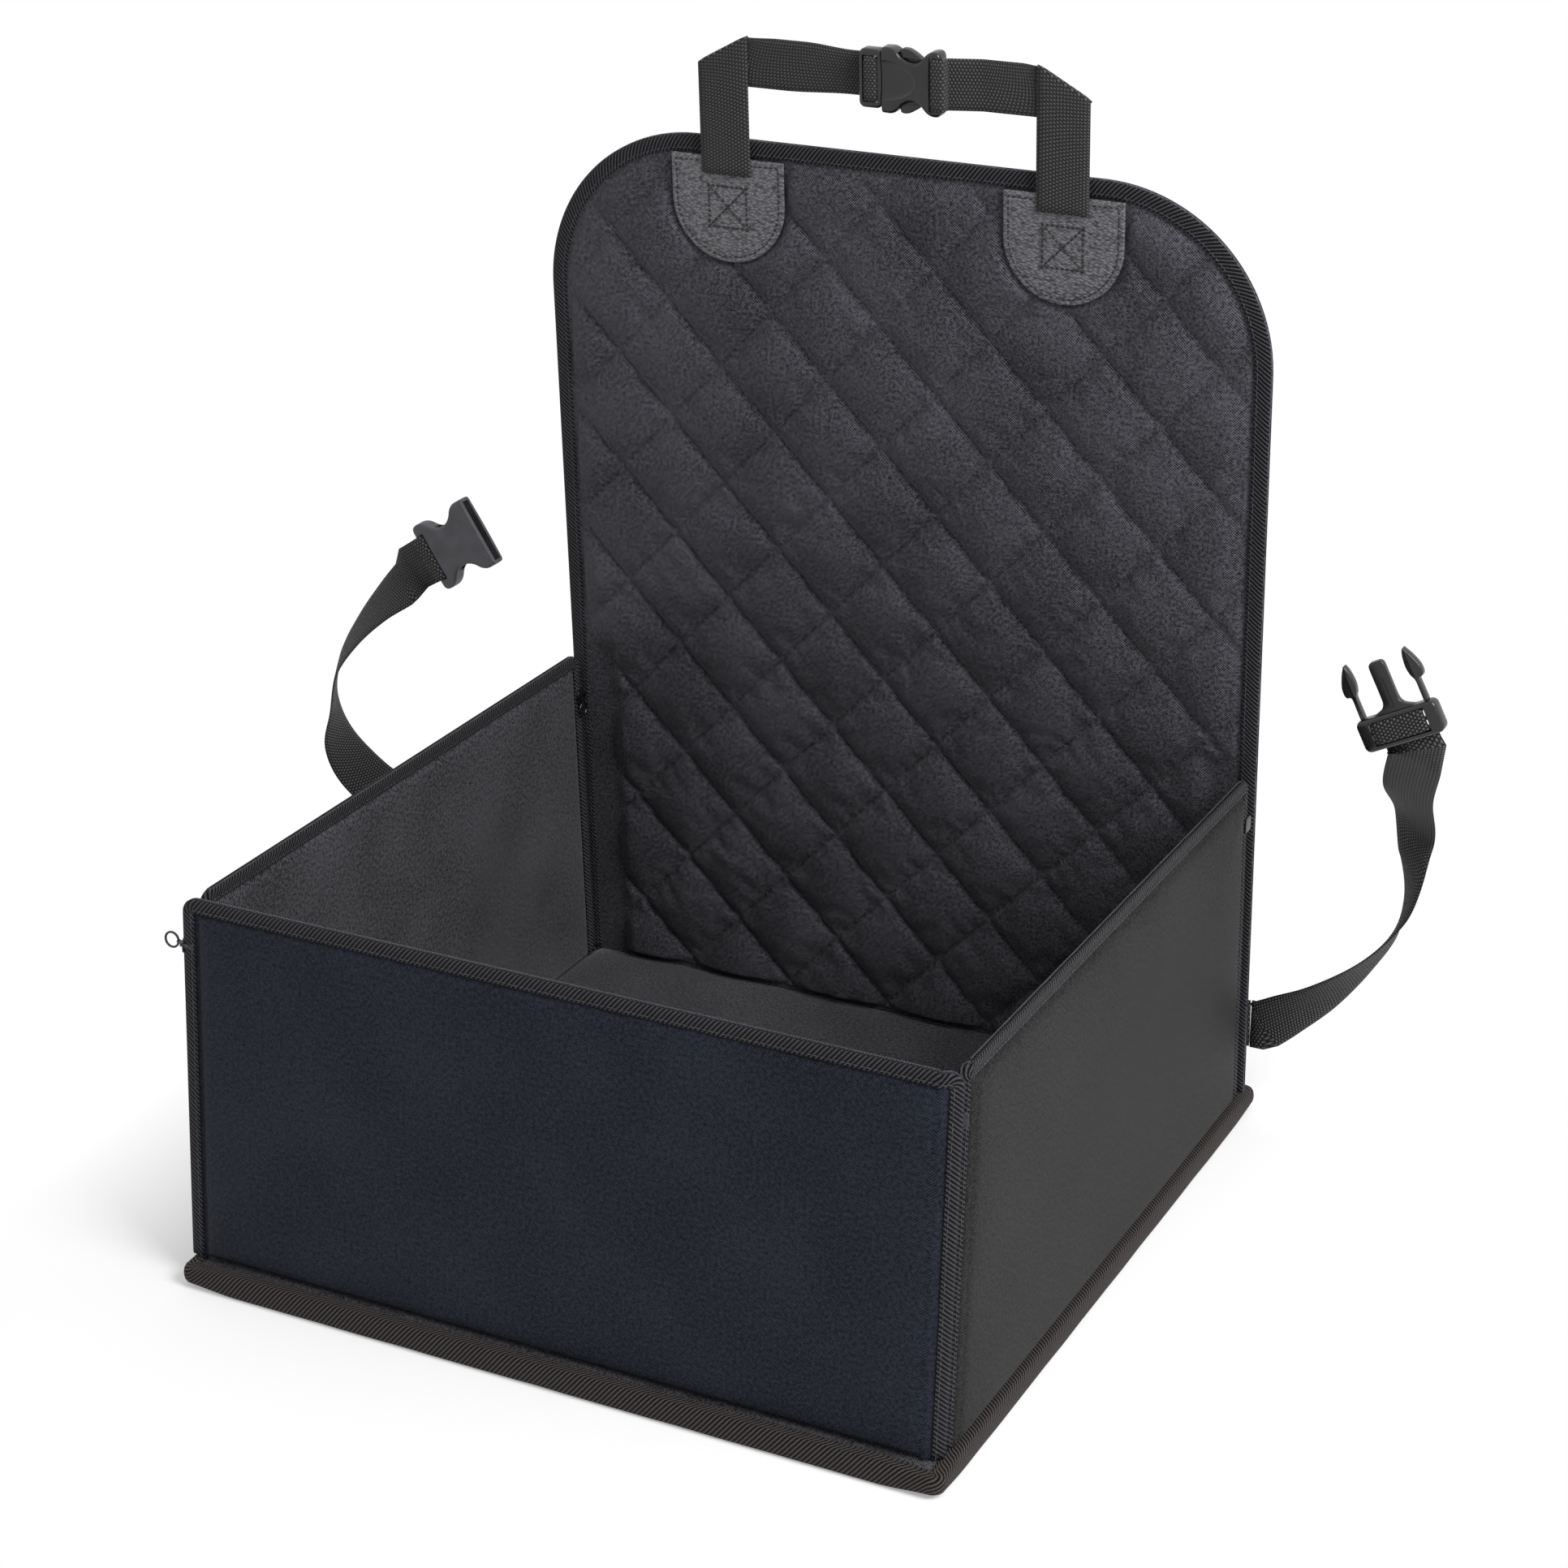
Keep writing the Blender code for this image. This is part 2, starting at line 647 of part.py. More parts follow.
def quilted_mesh(panel):
    """The quilted cloth: a lattice of puffs inside a flat flange, on a flat back.

    The lattice's square corners are drawn in to the outline's arcs: a place at (a, b) from an
    arc's centre moves to the same direction at the larger of a and b.
    """
    rim, step = TAPE + 2 * SEAM_GAP, QUILT_DIAGONAL / QUILT_STEPS
    half, share = BACK_WIDTH * HALF, BOTTOM_INSET_SHARE
    columns = lattice_stations(TOP_FLANGE - half, half - TOP_FLANGE, 0, step)
    columns = np.array([rim - half] + columns + [half - rim])
    rows = lattice_stations(TOP_FLANGE * share, BACK_HEIGHT - TOP_FLANGE, BACK_HEIGHT - QUILT_TOP_DROP, step)
    rows = np.array([rim * share] + rows + [BACK_HEIGHT - rim])
    y, x = np.meshgrid(rows, columns, indexing="ij")
    height = np.zeros_like(x)
    height[2:-2, 2:-2] = quilt_puff(x, y)[2:-2, 2:-2]
    centre_x, centre_y = half - BACK_CORNER, BACK_HEIGHT - BACK_CORNER
    a, b = np.abs(x) - centre_x, y - centre_y
    in_corner = (a > 0) & (b > 0)
    draw_in = np.where(in_corner, np.maximum(a, b) / np.hypot(a, b), 1)
    x = np.where(in_corner, np.sign(x) * (centre_x + a * draw_in), x)
    y = np.where(in_corner, centre_y + b * draw_in, y)
    back = panel.middle - SEAM_GAP * HALF
    shape = bmesh.new()
    row_count, column_count = x.shape
    front = [[shape.verts.new((x[i, j], y[i, j], back - CLOTH - height[i, j]))
              for j in range(column_count)] for i in range(row_count)]
    for i in range(row_count - 1):
        for j in range(column_count - 1):
            quad = [front[i][j], front[i][j + 1], front[i + 1][j + 1], front[i + 1][j]]
            low = [abs(vert.co.z) for vert in quad]
            turn = 0 if low[0] + low[2] < low[1] + low[3] else 1
            shape.faces.new([quad[turn], quad[turn + 1], quad[turn + 2]])
            shape.faces.new([quad[turn], quad[turn + 2], quad[(turn + 3) % 4]])
    rim_verts = front[0] + [row[-1] for row in front[1:]]
    rim_verts += front[-1][-2::-1] + [row[0] for row in front[-2:0:-1]]
    flat = [shape.verts.new((vert.co.x, vert.co.y, back)) for vert in rim_verts]
    for i in range(len(flat)):
        shape.faces.new((rim_verts[i - 1], rim_verts[i], flat[i], flat[i - 1]))
    shape.faces.new(flat)
    return finish_mesh("backrest_quilted_face", shape)


def patch_outline(centre):
    """A D on its side: straight at the top, round at the bottom."""
    top = BACK_HEIGHT - PATCH_TOP_DROP
    half = PATCH_WIDTH * HALF
    points = [(centre + half, top), (centre - half, top)]
    for k in range(PATCH_STEPS + 1):
        angle = math.pi + math.pi * k / PATCH_STEPS
        points.append((centre + half * math.cos(angle), top - PATCH_LENGTH + half + half * math.sin(angle)))
    return points


def layer_heights(panel):
    """Depths from the flange's face towards the box: tail, patch and loop, as (back, front)."""
    floor = panel.middle - SEAM_GAP * HALF - CLOTH - SEAM_GAP
    tail = (floor, floor - WEBBING_THICKNESS)
    patch = (tail[1] - SEAM_GAP, tail[1] - SEAM_GAP - PATCH_THICKNESS)
    loop = patch[1] - SEAM_GAP
    return tail, patch, loop


def build_backrest(panel):
    panel.add_cover("rear_cover", -panel.middle, -panel.middle - BACK_CLOTH)
    panel.add_board(SEAM_GAP * HALF, -panel.middle - BACK_CLOTH - SEAM_GAP)
    panel.add_binding()
    panel.add("quilted_face", quilted_mesh(panel), "quilted_cloth")


def build_patch(label, side, panel):
    """A leather patch over the sewn end of the headrest loop, with a slot for the webbing."""
    centre = side * LOOP_WIDTH * HALF
    tail, patch, loop = layer_heights(panel)
    slot_y = BACK_HEIGHT - SLOT_DROP
    mesh = plate(f"{label}_patch", patch_outline(centre), patch[1], patch[0])
    part = add_part(f"{label}_leather_patch", mesh, "grained_leather", panel.frame)
    half = WEBBING * HALF + SEAM_GAP
    slot = box(f"{label}_slot", (centre - half, slot_y - SLOT_HEIGHT * HALF, patch[1] - OVERRUN),
               (centre + half, slot_y + SLOT_HEIGHT * HALF, patch[0] + OVERRUN))
    apply_boolean(part, add_tool(f"{label}_slot", slot, panel.frame), "DIFFERENCE")

    flat = (tail[0] + tail[1]) * HALF
    bend = slot_y - SLOT_HEIGHT * HALF
    stations = [(slot_y - TAIL_LENGTH, flat), (bend, flat), (slot_y - WEBBING_THICKNESS * HALF * HALF, flat - WEBBING_THICKNESS * HALF * HALF),
                (slot_y, tail[1] - SEAM_GAP), (slot_y, loop + SEAM_GAP)]
    across = (1, 0, 0)
    ends = [((centre, y, z), across) for y, z in stations]
    mesh = ribbon(f"{label}_strap_tail", ends, WEBBING)
    add_part(f"{label}_strap_tail", mesh, "webbing", panel.frame)


# Side-release buckle, drawn in the plane of the webbing: x is the way the prongs point

class Buckle:
    """The sizes of a buckle that follow from its webbing and its width."""

    def __init__(self, webbing, width, frame_length):
        self.frame_length = frame_length
        self.half = width * HALF
        self.slot_half = webbing * HALF + SLOT_CLEARANCE
        self.root = self.half - SOCKET_WALL - PRONG_BEAM - 2 * SLOT_CLEARANCE

    def body_outline(self):
        """Half widths along the female body: mouth, waist with open sides, and strap lobes."""
        shares = [(0, 1.0), (0.17, 1.0), (0.24, 0.93), (0.32, 0.76), (0.44, 0.62), (0.58, 0.60),
                  (0.70, 0.68), (0.80, 0.86), (0.87, 0.98), (0.94, 1.0), (1.0, 0.88)]
        start = SEAM_GAP
        upper = [(start + along * BODY_LENGTH, share * self.half) for along, share in shares]
        return [(x, -y) for x, y in upper] + upper[::-1]

    def prong_outline(self, side):
        """A thin beam that ends in a leaf: a shoulder outside, a point ahead."""
        beam, start = PRONG_BEAM, SEAM_GAP
        root = self.root
        shares = [(0.0, 0.0), (0.0, 1.0), (0.42, 1.0), (0.44, 2.1), (0.52, 2.5), (0.66, 2.3),
                  (0.84, 1.3), (1.0, 0.1), (0.86, -0.9), (0.66, -1.1), (0.50, -0.7), (0.40, 0.0)]
        points = [(start + x * PRONG_LENGTH, side * (root + y * beam)) for x, y in shares]
        return points if side < 0 else points[::-1]


def build_male(name, buckle, frame):
    """A frame with a webbing bar and a centre tongue, and two prongs that flex at their roots."""
    half, slot, length = buckle.half, buckle.slot_half, buckle.frame_length
    thick = FRAME_THICKNESS * HALF
    part = add_part(name, box(name, (-length, -half, -thick), (0, half, thick)), "buckle_plastic", frame)
    round_edges(part, HARD_EDGE, 2)
    window = box(f"{name}_window", (-length + FRAME_RAIL, -slot, -thick - OVERRUN),
                 (-FRAME_RAIL, slot, thick + OVERRUN))
    apply_boolean(part, add_tool(f"{name}_window", window, frame), "DIFFERENCE")
    middle = -length * HALF
    bar = box(f"{name}_bar", (middle - FRAME_BAR * HALF, -slot - OVERRUN * HALF, -FRAME_BAR_HEIGHT * HALF),
              (middle + FRAME_BAR * HALF, slot + OVERRUN * HALF, FRAME_BAR_HEIGHT * HALF))
    apply_boolean(part, add_tool(f"{name}_bar", bar, frame), "UNION")
    tongue = TONGUE_WIDTH * HALF
    flare = buckle.root - 2 * PRONG_BEAM
    root = -FRAME_RAIL * HALF
    tip = TONGUE_LENGTH
    shares = [(0.02, 1.0), (0.06, 0.35), (0.14, 0.08), (0.24, 0.0)]
    upper = [(root, flare)] + [(along * tip, tongue + (flare - tongue) * spread) for along, spread in shares]
    upper += [(tip - HARD_EDGE, tongue - HARD_EDGE), (tip, tongue - 2 * HARD_EDGE)]
    outline = [(x, -y) for x, y in upper] + upper[::-1]
    blade = plate(f"{name}_tongue", outline, -TONGUE_THICKNESS * HALF, TONGUE_THICKNESS * HALF)
    apply_boolean(part, add_tool(f"{name}_tongue", blade, frame), "UNION")
    for side, label in ((1, "upper"), (-1, "lower")):
        pivot = Vector((SEAM_GAP, side * (buckle.root + PRONG_BEAM * HALF), 0))
        hinge = make_frame(f"{name}_{label}_prong_frame", pivot, (0, 0, 0), frame)
        outline = [(x - pivot.x, y - pivot.y) for x, y in buckle.prong_outline(side)]
        prong = plate(f"{name}_{label}_prong", outline, -PRONG_THICKNESS * HALF, PRONG_THICKNESS * HALF)
        prong = add_part(f"{name}_{label}_prong", prong, "buckle_plastic", hinge)
        round_edges(prong, HARD_EDGE * HALF)


def build_female(name, buckle, frame):
    """A waisted body with a flat socket, open at the mouth and at both sides of the waist."""
    thick = BODY_THICKNESS * HALF
    part = add_part(name, plate(name, buckle.body_outline(), -thick, thick), "buckle_plastic", frame)
    round_edges(part, HARD_EDGE * 2, 2)
    hollow = buckle.half - SOCKET_WALL
    socket = box(f"{name}_socket", (-OVERRUN, -hollow, -SOCKET_HEIGHT * HALF),
                 (SOCKET_DEPTH, hollow, SOCKET_HEIGHT * HALF))
    apply_boolean(part, add_tool(f"{name}_socket", socket, frame), "DIFFERENCE")
    end = SEAM_GAP + BODY_LENGTH - STRAP_BAR
    slot = box(f"{name}_strap_slot", (end - STRAP_SLOT, -buckle.slot_half, -thick - OVERRUN),
               (end, buckle.slot_half, thick + OVERRUN))
    apply_boolean(part, add_tool(f"{name}_strap_slot", slot, frame), "DIFFERENCE")
    shares = [(0.02, 0.62), (0.36, 0.46), (0.52, 0.28), (0.56, 0.0)]
    upper = [(along * BODY_LENGTH, share * buckle.half) for along, share in shares]
    outline = [(x, -y) for x, y in upper[:-1]] + upper[::-1]
    for face in (-1, 1):
        z = sorted((face * (thick - THUMB_DEPTH), face * (thick + OVERRUN)))
        recess = plate(f"{name}_thumb_recess", outline, z[0], z[1])
        apply_boolean(part, add_tool(f"{name}_thumb_recess_{face}", recess, frame), "DIFFERENCE")


def male_wrap(buckle):
    """Where webbing runs on the male half: under the rear rail, up, over the bar and down."""
    under = -strap_drop()
    over = FRAME_BAR_HEIGHT * HALF + SEAM_GAP + WEBBING_THICKNESS * HALF
    middle = -buckle.frame_length * HALF
    gap = (FRAME_BAR * HALF - middle - FRAME_RAIL) * HALF
    rear = -buckle.frame_length - FRAME_RAIL
    return [(rear - 2 * FRAME_RAIL, under), (rear, under), (middle - gap, under),
            (middle - gap, over), (middle + gap, over), (middle + gap, 0)]


def female_wrap(buckle):
    """Where webbing runs on the female half: from behind, round the end bar, into the slot."""
    over = BODY_THICKNESS * HALF + SEAM_GAP + WEBBING_THICKNESS * HALF
    end = SEAM_GAP + BODY_LENGTH
    round_end = end + SEAM_GAP + WEBBING_THICKNESS
    slot = end - STRAP_BAR - STRAP_SLOT * HALF
    return [(end + 2 * BODY_THICKNESS, -strap_drop()), (round_end, 0), (round_end, over),
            (slot, over), (slot, 0)]


def strap_drop():
    """How far behind the buckle's middle plane the webbing runs."""
    return FRAME_THICKNESS * HALF + SEAM_GAP + WEBBING_THICKNESS * HALF


# Headrest loop, in a frame on the slots of the patches: x to the right, y up, z to the front

def build_loop(frame):
    buckle = Buckle(WEBBING, LOOP_BUCKLE_WIDTH, LOOP_FRAME_LENGTH)
    rise = LOOP_RISE + SLOT_DROP
    back = (-SEAM_GAP - WEBBING_THICKNESS, -SEAM_GAP)
    run_y = rise - WEBBING * HALF
    seam = (LOOP_FRAME_LENGTH - BODY_LENGTH) * HALF
    place = (seam, run_y, (back[0] + back[1]) * HALF + strap_drop())
    buckle_frame = make_frame("headrest_buckle_frame", place, (0, 0, 0), frame)
    build_male("headrest_buckle_male", buckle, buckle_frame)
    build_female("headrest_buckle_female", buckle, buckle_frame)
    for side, label, wrap in ((-1, "left", male_wrap(buckle)), (1, "right", female_wrap(buckle))):
        outer = side * (LOOP_WIDTH + WEBBING) * HALF
        inner = side * (LOOP_WIDTH - WEBBING) * HALF
        low = SEAM_GAP
        upright = [(outer, low), (inner, low), (inner, rise), (outer, rise - FOLD_DROP)]
        upright = upright if side < 0 else upright[::-1]
        name = f"{label}_headrest_strap"
        part = add_part(name, plate(name, upright, 0, WEBBING_THICKNESS), "webbing", frame)
        meet = seam + wrap[0][0] - side * OVERRUN
        run = [(outer, rise - WEBBING), (meet, rise - WEBBING), (meet, rise), (inner, rise),
               (outer, rise - FOLD_DROP)]
        run = run if side < 0 else run[::-1]
        run = plate(f"{label}_run", run, *back)
        crease_low = (outer, rise - FOLD_DROP - CREASE)
        crease = [crease_low, (inner, rise - CREASE), (inner, rise), (outer, rise - FOLD_DROP)]
        crease = crease if side < 0 else crease[::-1]
        crease = plate(f"{label}_crease", crease, back[0] * HALF, WEBBING_THICKNESS * HALF)
        stations = [((meet + side * 2 * OVERRUN, run_y, place[2] + wrap[0][1]), (0, 1, 0))]
        stations += [((seam + x, run_y, place[2] + z), (0, 1, 0)) for x, z in wrap]
        hook = ribbon(f"{label}_wrap", stations, WEBBING - SEAM_GAP, WEBBING_THICKNESS - SEAM_GAP)
        for piece in (run, crease, hook):
            apply_boolean(part, add_tool(f"{piece.name}_piece", piece, frame), "UNION")


# Lap straps, in an upright frame at the backrest's edge: x to the right, y up, z to the front

# Shares of the span to the side, up and to the front, then the twist in degrees
LEFT_ROUTE_SHARES = [(0, 0, 0, 0), (0.06, 0, 0, 0), (0.23, 0.004, 1, 5), (0.54, 0.049, 1, 20),
                     (0.881, 0.219, 1, 40), (0.982, 0.362, 1, 75), (1.0, 0.516, 1, 105),
                     (0.979, 0.641, 1, 135), (0.903, 0.762, 1, 155), (0.789, 0.904, 1, 170),
                     (0.694, 1.0, 1, 180)]
RIGHT_ROUTE_SHARES = [(0, 0, 0, 0), (0.06, 0, 0, 0), (0.14, 0.02, 0, 15), (0.309, 0.0925, -0.014, 42),
                      (0.56, 0.2025, -0.014, 55), (0.7145, 0.299, -0.014, 92), (0.776, 0.3525, -0.014, 112),
                      (0.864, 0.471, 0.05, 138), (0.888, 0.595, 0.086, 155), (0.948, 0.795, 0.511, 170),
                      (1.03, 0.965, 0.95, 180)]


def lap_stations(side, span, shares):
    """Centres and width directions along a lap strap, twisted about its run."""
    points = [(side * out * span[0], up * span[1], front * span[2], twist) for out, up, front, twist in shares]
    route = smooth_route(points[1:], ROUTE_STEPS)
    stations = [((0, 0, 0), (0, 1, 0))]
    for i, (x, y, z, twist) in enumerate(route):
        ahead = Vector((route[min(i + 1, len(route) - 1)] - route[max(i - 1, 0)])[:3]).normalized()
        flat = Vector((-ahead.y, ahead.x, 0)).normalized() * side
        turn = Matrix.Rotation(math.radians(twist), 3, ahead)
        stations.append(((x, y, z), turn @ flat))
    return stations


def build_lap_strap(label, side, back_frame):
    """A lap strap: an anchor sewn to the rear of the backrest, webbing and a buckle half."""
    edge = BACK_WIDTH * HALF
    half = LAP_WEBBING * HALF
    low, high = SEAM_GAP, SEAM_GAP + WEBBING_THICKNESS
    ends = sorted((-side * edge, -side * (edge - ANCHOR_LENGTH)))
    name = f"{label}_strap_anchor"
    mesh = box(name, (ends[0], LAP_HEIGHT - half, low), (ends[1], LAP_HEIGHT + half, high))
    add_part(name, mesh, "webbing", back_frame)

    place = (-side * (edge + LAP_SEAM), LAP_HEIGHT, (low + high) * HALF)
    frame = make_frame(f"{label}_lap_frame", place, (-BACK_LEAN, math.pi, 0), back_frame)
    buckle = Buckle(LAP_WEBBING, LAP_BUCKLE_WIDTH, LAP_FRAME_LENGTH)
    if side < 0:
        span, shares, wrap = LEFT_LAP_SPAN, LEFT_ROUTE_SHARES, female_wrap(buckle)
        buckle_place, turn = LEFT_BUCKLE_PLACE, LEFT_BUCKLE_TURN
    else:
        span, shares, wrap = RIGHT_LAP_SPAN, RIGHT_ROUTE_SHARES, male_wrap(buckle)
        buckle_place, turn = RIGHT_BUCKLE_PLACE, RIGHT_BUCKLE_TURN
    stations = lap_stations(side, span, shares)
    along = Vector((math.cos(turn), math.sin(turn), 0))
    across = Vector((-along.y, along.x, 0))
    for x, z in wrap:
        stations.append((Vector(buckle_place) + along * x + Vector((0, 0, z)), -across))
    add_part(f"{label}_lap_strap", ribbon(f"{label}_lap_strap", stations, LAP_WEBBING), "webbing", frame)

    buckle_frame = make_frame(f"{label}_lap_buckle_frame", buckle_place, (0, 0, turn), frame)
    if side < 0:
        build_female("lap_buckle_female", buckle, buckle_frame)
    else:
        build_male("lap_buckle_male", buckle, buckle_frame)


def build():
    build_base()
    half_width, half_depth = FOOT_WIDTH * HALF, FOOT_DEPTH * HALF
    front = hinge_frame("front_wall_hinge", 0, -half_depth, FRONT_LEAN, 0)
    right = hinge_frame("right_wall_hinge", half_width, 0, 0, RIGHT_ANGLE)
    left = hinge_frame("left_wall_hinge", -half_width, 0, 0, -RIGHT_ANGLE)
    back = hinge_frame("backrest_hinge", 0, half_depth, BACK_LEAN, math.pi)

    corners = [(-half_width, 0), (half_width, 0), (half_width, WALL_HEIGHT), (-half_width, WALL_HEIGHT)]
    front_panel = Panel("front_wall", front, corners, WALL_CORNER, FRONT_SIDE_FLANGE, CORNER_STEPS)
    build_wall(front_panel)

    (front_low, back_low), (front_high, back_high) = side_wall_ends()
    corners = [(front_low, 0), (back_low, 0), (back_high, WALL_HEIGHT), (front_high, WALL_HEIGHT)]
    right_panel = Panel("right_wall", right, corners, WALL_CORNER, TOP_FLANGE, CORNER_STEPS)
    build_wall(right_panel)
    mirrored = [(-back_low, 0), (-front_low, 0), (-front_high, WALL_HEIGHT), (-back_high, WALL_HEIGHT)]
    left_panel = Panel("left_wall", left, mirrored, WALL_CORNER, TOP_FLANGE, CORNER_STEPS)
    build_wall(left_panel)

    half_back = BACK_WIDTH * HALF
    corners = [(-half_back, 0), (half_back, 0), (half_back, BACK_HEIGHT), (-half_back, BACK_HEIGHT)]
    back_panel = Panel("backrest", back, corners, BACK_CORNER, TOP_FLANGE, BACK_STEPS)
    build_backrest(back_panel)
    build_patch("left", 1, back_panel)
    build_patch("right", -1, back_panel)

    front_edge = ((front_low, 0), (front_high, WALL_HEIGHT))
    back_edge = ((back_low, 0), (back_high, WALL_HEIGHT))
    flip = [tuple((-x, y) for x, y in edge) for edge in (front_edge, back_edge)]
    add_wall_chain("front_left_zip_front_chain", front, -1, WALL_HEIGHT)
    add_wall_chain("front_right_zip_front_chain", front, 1, WALL_HEIGHT)
    add_wall_chain("rear_left_zip_back_chain", back, 1, WALL_HEIGHT)
    add_wall_chain("rear_right_zip_back_chain", back, -1, WALL_HEIGHT)
    add_side_zip("front_right_zip", right_panel, *front_edge, -1, False)
    add_side_zip("rear_right_zip", right_panel, *back_edge, 1, False)
    add_side_zip("front_left_zip", left_panel, *flip[0], 1, True)
    add_side_zip("rear_left_zip", left_panel, *flip[1], -1, False)

    loop_place = (0, BACK_HEIGHT - SLOT_DROP, layer_heights(back_panel)[-1])
    loop_frame = make_frame("headrest_loop_frame", loop_place, (0, math.pi, 0), back)
    build_loop(loop_frame)
    build_lap_strap("left", -1, back)
    build_lap_strap("right", 1, back)


build()
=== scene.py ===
"""Dog car seat, dressed: cloth, tape, webbing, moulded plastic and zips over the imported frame.

Metres, +Z up. Each wall is worked out flat in its hinge's frame, with x along the wall, y up
and z outwards, and then put in place as the solids are. Sizes are the solids' own, but the
backrest's outline, the quilting, the straps' curves, the loop's buckle and the front corners
lie some millimetres nearer to the real seat.
"""
import math

import bmesh
import bpy
import numpy as np
from mathutils import Matrix, Vector


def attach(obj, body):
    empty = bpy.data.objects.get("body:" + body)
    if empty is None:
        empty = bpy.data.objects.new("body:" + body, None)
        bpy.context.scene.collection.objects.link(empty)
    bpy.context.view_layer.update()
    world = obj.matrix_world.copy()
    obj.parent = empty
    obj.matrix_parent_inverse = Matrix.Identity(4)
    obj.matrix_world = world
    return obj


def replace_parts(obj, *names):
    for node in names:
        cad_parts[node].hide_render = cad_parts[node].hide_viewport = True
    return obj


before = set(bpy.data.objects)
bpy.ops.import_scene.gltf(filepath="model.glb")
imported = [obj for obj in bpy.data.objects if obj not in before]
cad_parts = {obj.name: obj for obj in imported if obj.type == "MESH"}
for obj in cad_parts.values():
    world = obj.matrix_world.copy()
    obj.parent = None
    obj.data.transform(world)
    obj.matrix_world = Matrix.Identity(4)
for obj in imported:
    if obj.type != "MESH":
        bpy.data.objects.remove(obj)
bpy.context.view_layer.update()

RIGHT_ANGLE = math.pi / 2
# The quilting's cloth: pressure, share that it is cut larger, and the furthest that it may swell
QUILT_PRESSURE, QUILT_SLACK, QUILT_LIMIT = 4.0, 0.012, 0.012

# Sizes
SEAM_GAP = 0.0003
CLOTH = 0.0012
BASE_WIDTH, BASE_DEPTH, BASE_THICKNESS, BASE_CORNER = 0.457, 0.464, 0.014, 0.007
BASE_BINDING_LEG = 0.0085
FOOT_WIDTH, FOOT_DEPTH = 0.450, 0.444
WALL_HEIGHT, WALL_THICKNESS, WALL_CORNER = 0.210, 0.009, 0.0085
FRONT_LEAN, BACK_LEAN = math.radians(3.8), math.radians(3.0)
TOP_FLANGE, FRONT_SIDE_FLANGE = 0.0105, 0.0125
BINDING_LEG = 0.0095
ZIP_GAP = 0.0035
BACK_WIDTH, BACK_HEIGHT, BACK_CORNER = 0.450, 0.549, 0.100
QUILT_ACROSS, QUILT_RISE, QUILT_SHIFT = 0.0688, 0.0735, 0.0095
QUILT_TOP_DROP, QUILT_FLANGE = 0.026, 0.0118
WEBBING, WEBBING_THICKNESS = 0.030, 0.0016
LOOP_WIDTH, LOOP_RISE, FOLD_DROP = 0.207, 0.0603, 0.017
UPRIGHT_WEBBING, RUN_WEBBING, GATHERED_WEBBING = 0.0312, 0.0287, 0.0248
SLOT_DROP, SLOT_HEIGHT = 0.0205, 0.0026
PATCH_WIDTH, PATCH_LENGTH, PATCH_TOP_DROP, PATCH_THICKNESS = 0.072, 0.062, 0.0105, 0.0016
# Where a patch's straight sides end, and its section: the distance in from its rim, and the
# height in shares of its thickness, with a dip where the stitches pull it down
PATCH_MIDDLE = BACK_HEIGHT - PATCH_TOP_DROP - PATCH_LENGTH + PATCH_WIDTH / 2
PATCH_SECTION = [(0.004, 0), (0.0006, 0), (0, 0.3), (0.0002, 0.75), (0.0008, 1.0), (0.0022, 1.06),
                 (0.0034, 0.86), (0.0046, 1.04), (0.010, 1.08), (0.018, 1.1), (0.026, 1.1)]
TAIL_LENGTH = 0.034
LOOP_BUCKLE_WIDTH, LAP_BUCKLE_WIDTH, LOOP_BODY = 0.0362, 0.046, 0.0355
LOOP_FRAME_LENGTH, LAP_FRAME_LENGTH = 0.014, 0.018
FRAME_THICKNESS, FRAME_RAIL, FRAME_BAR, FRAME_BAR_HEIGHT = 0.0085, 0.0024, 0.002, 0.0026
TONGUE_LENGTH, TONGUE_WIDTH, TONGUE_THICKNESS = 0.025, 0.0088, 0.004
PRONG_LENGTH, PRONG_THICKNESS, PRONG_BEAM = 0.027, 0.005, 0.0022
BODY_LENGTH, BODY_THICKNESS = 0.045, 0.0105
SOCKET_DEPTH, SOCKET_HEIGHT, SOCKET_WALL = 0.030, 0.006, 0.0022
STRAP_SLOT, STRAP_BAR = 0.0034, 0.0034
LAP_WEBBING, LAP_HEIGHT, ANCHOR_LENGTH, LAP_SEAM = 0.031, 0.0435, 0.070, 0.0007
LEFT_LAP_SPAN, LEFT_BUCKLE_PLACE = (0.193, 0.1835, 0.002), (-0.0686, 0.2319, 0.0074)
RIGHT_LAP_SPAN, RIGHT_BUCKLE_PLACE = (0.110, 0.2345, 0.100), (0.1085, 0.2652, 0.1225)
LEFT_BUCKLE_TURN, RIGHT_BUCKLE_TURN = math.radians(213), math.radians(117)
CHAIN_WIDTH, CHAIN_END, TOOTH_PITCH = 0.0009, 0.012, 0.0015
SLIDER_TOP_DROP, SLIDER_LENGTH, SLIDER_WIDTH, SLIDER_PLATE = 0.028, 0.0095, 0.009, 0.001
BAIL, PULL_WIDTH, PULL_TAB, PULL_THICKNESS = 0.0012, 0.0044, 0.005, 0.001
RING_RADIUS, RING_WIRE = 0.0042, 0.00065
MIDDLE = -WALL_THICKNESS / 2
FLANGE_HALF = SEAM_GAP / 2 + CLOTH + SEAM_GAP + 0.0008
# The padding of the walls swells over their flanges, which leaves a narrower strip of tape in view
WALL_FLANGE, WALL_LEG = 0.0088, 0.0078
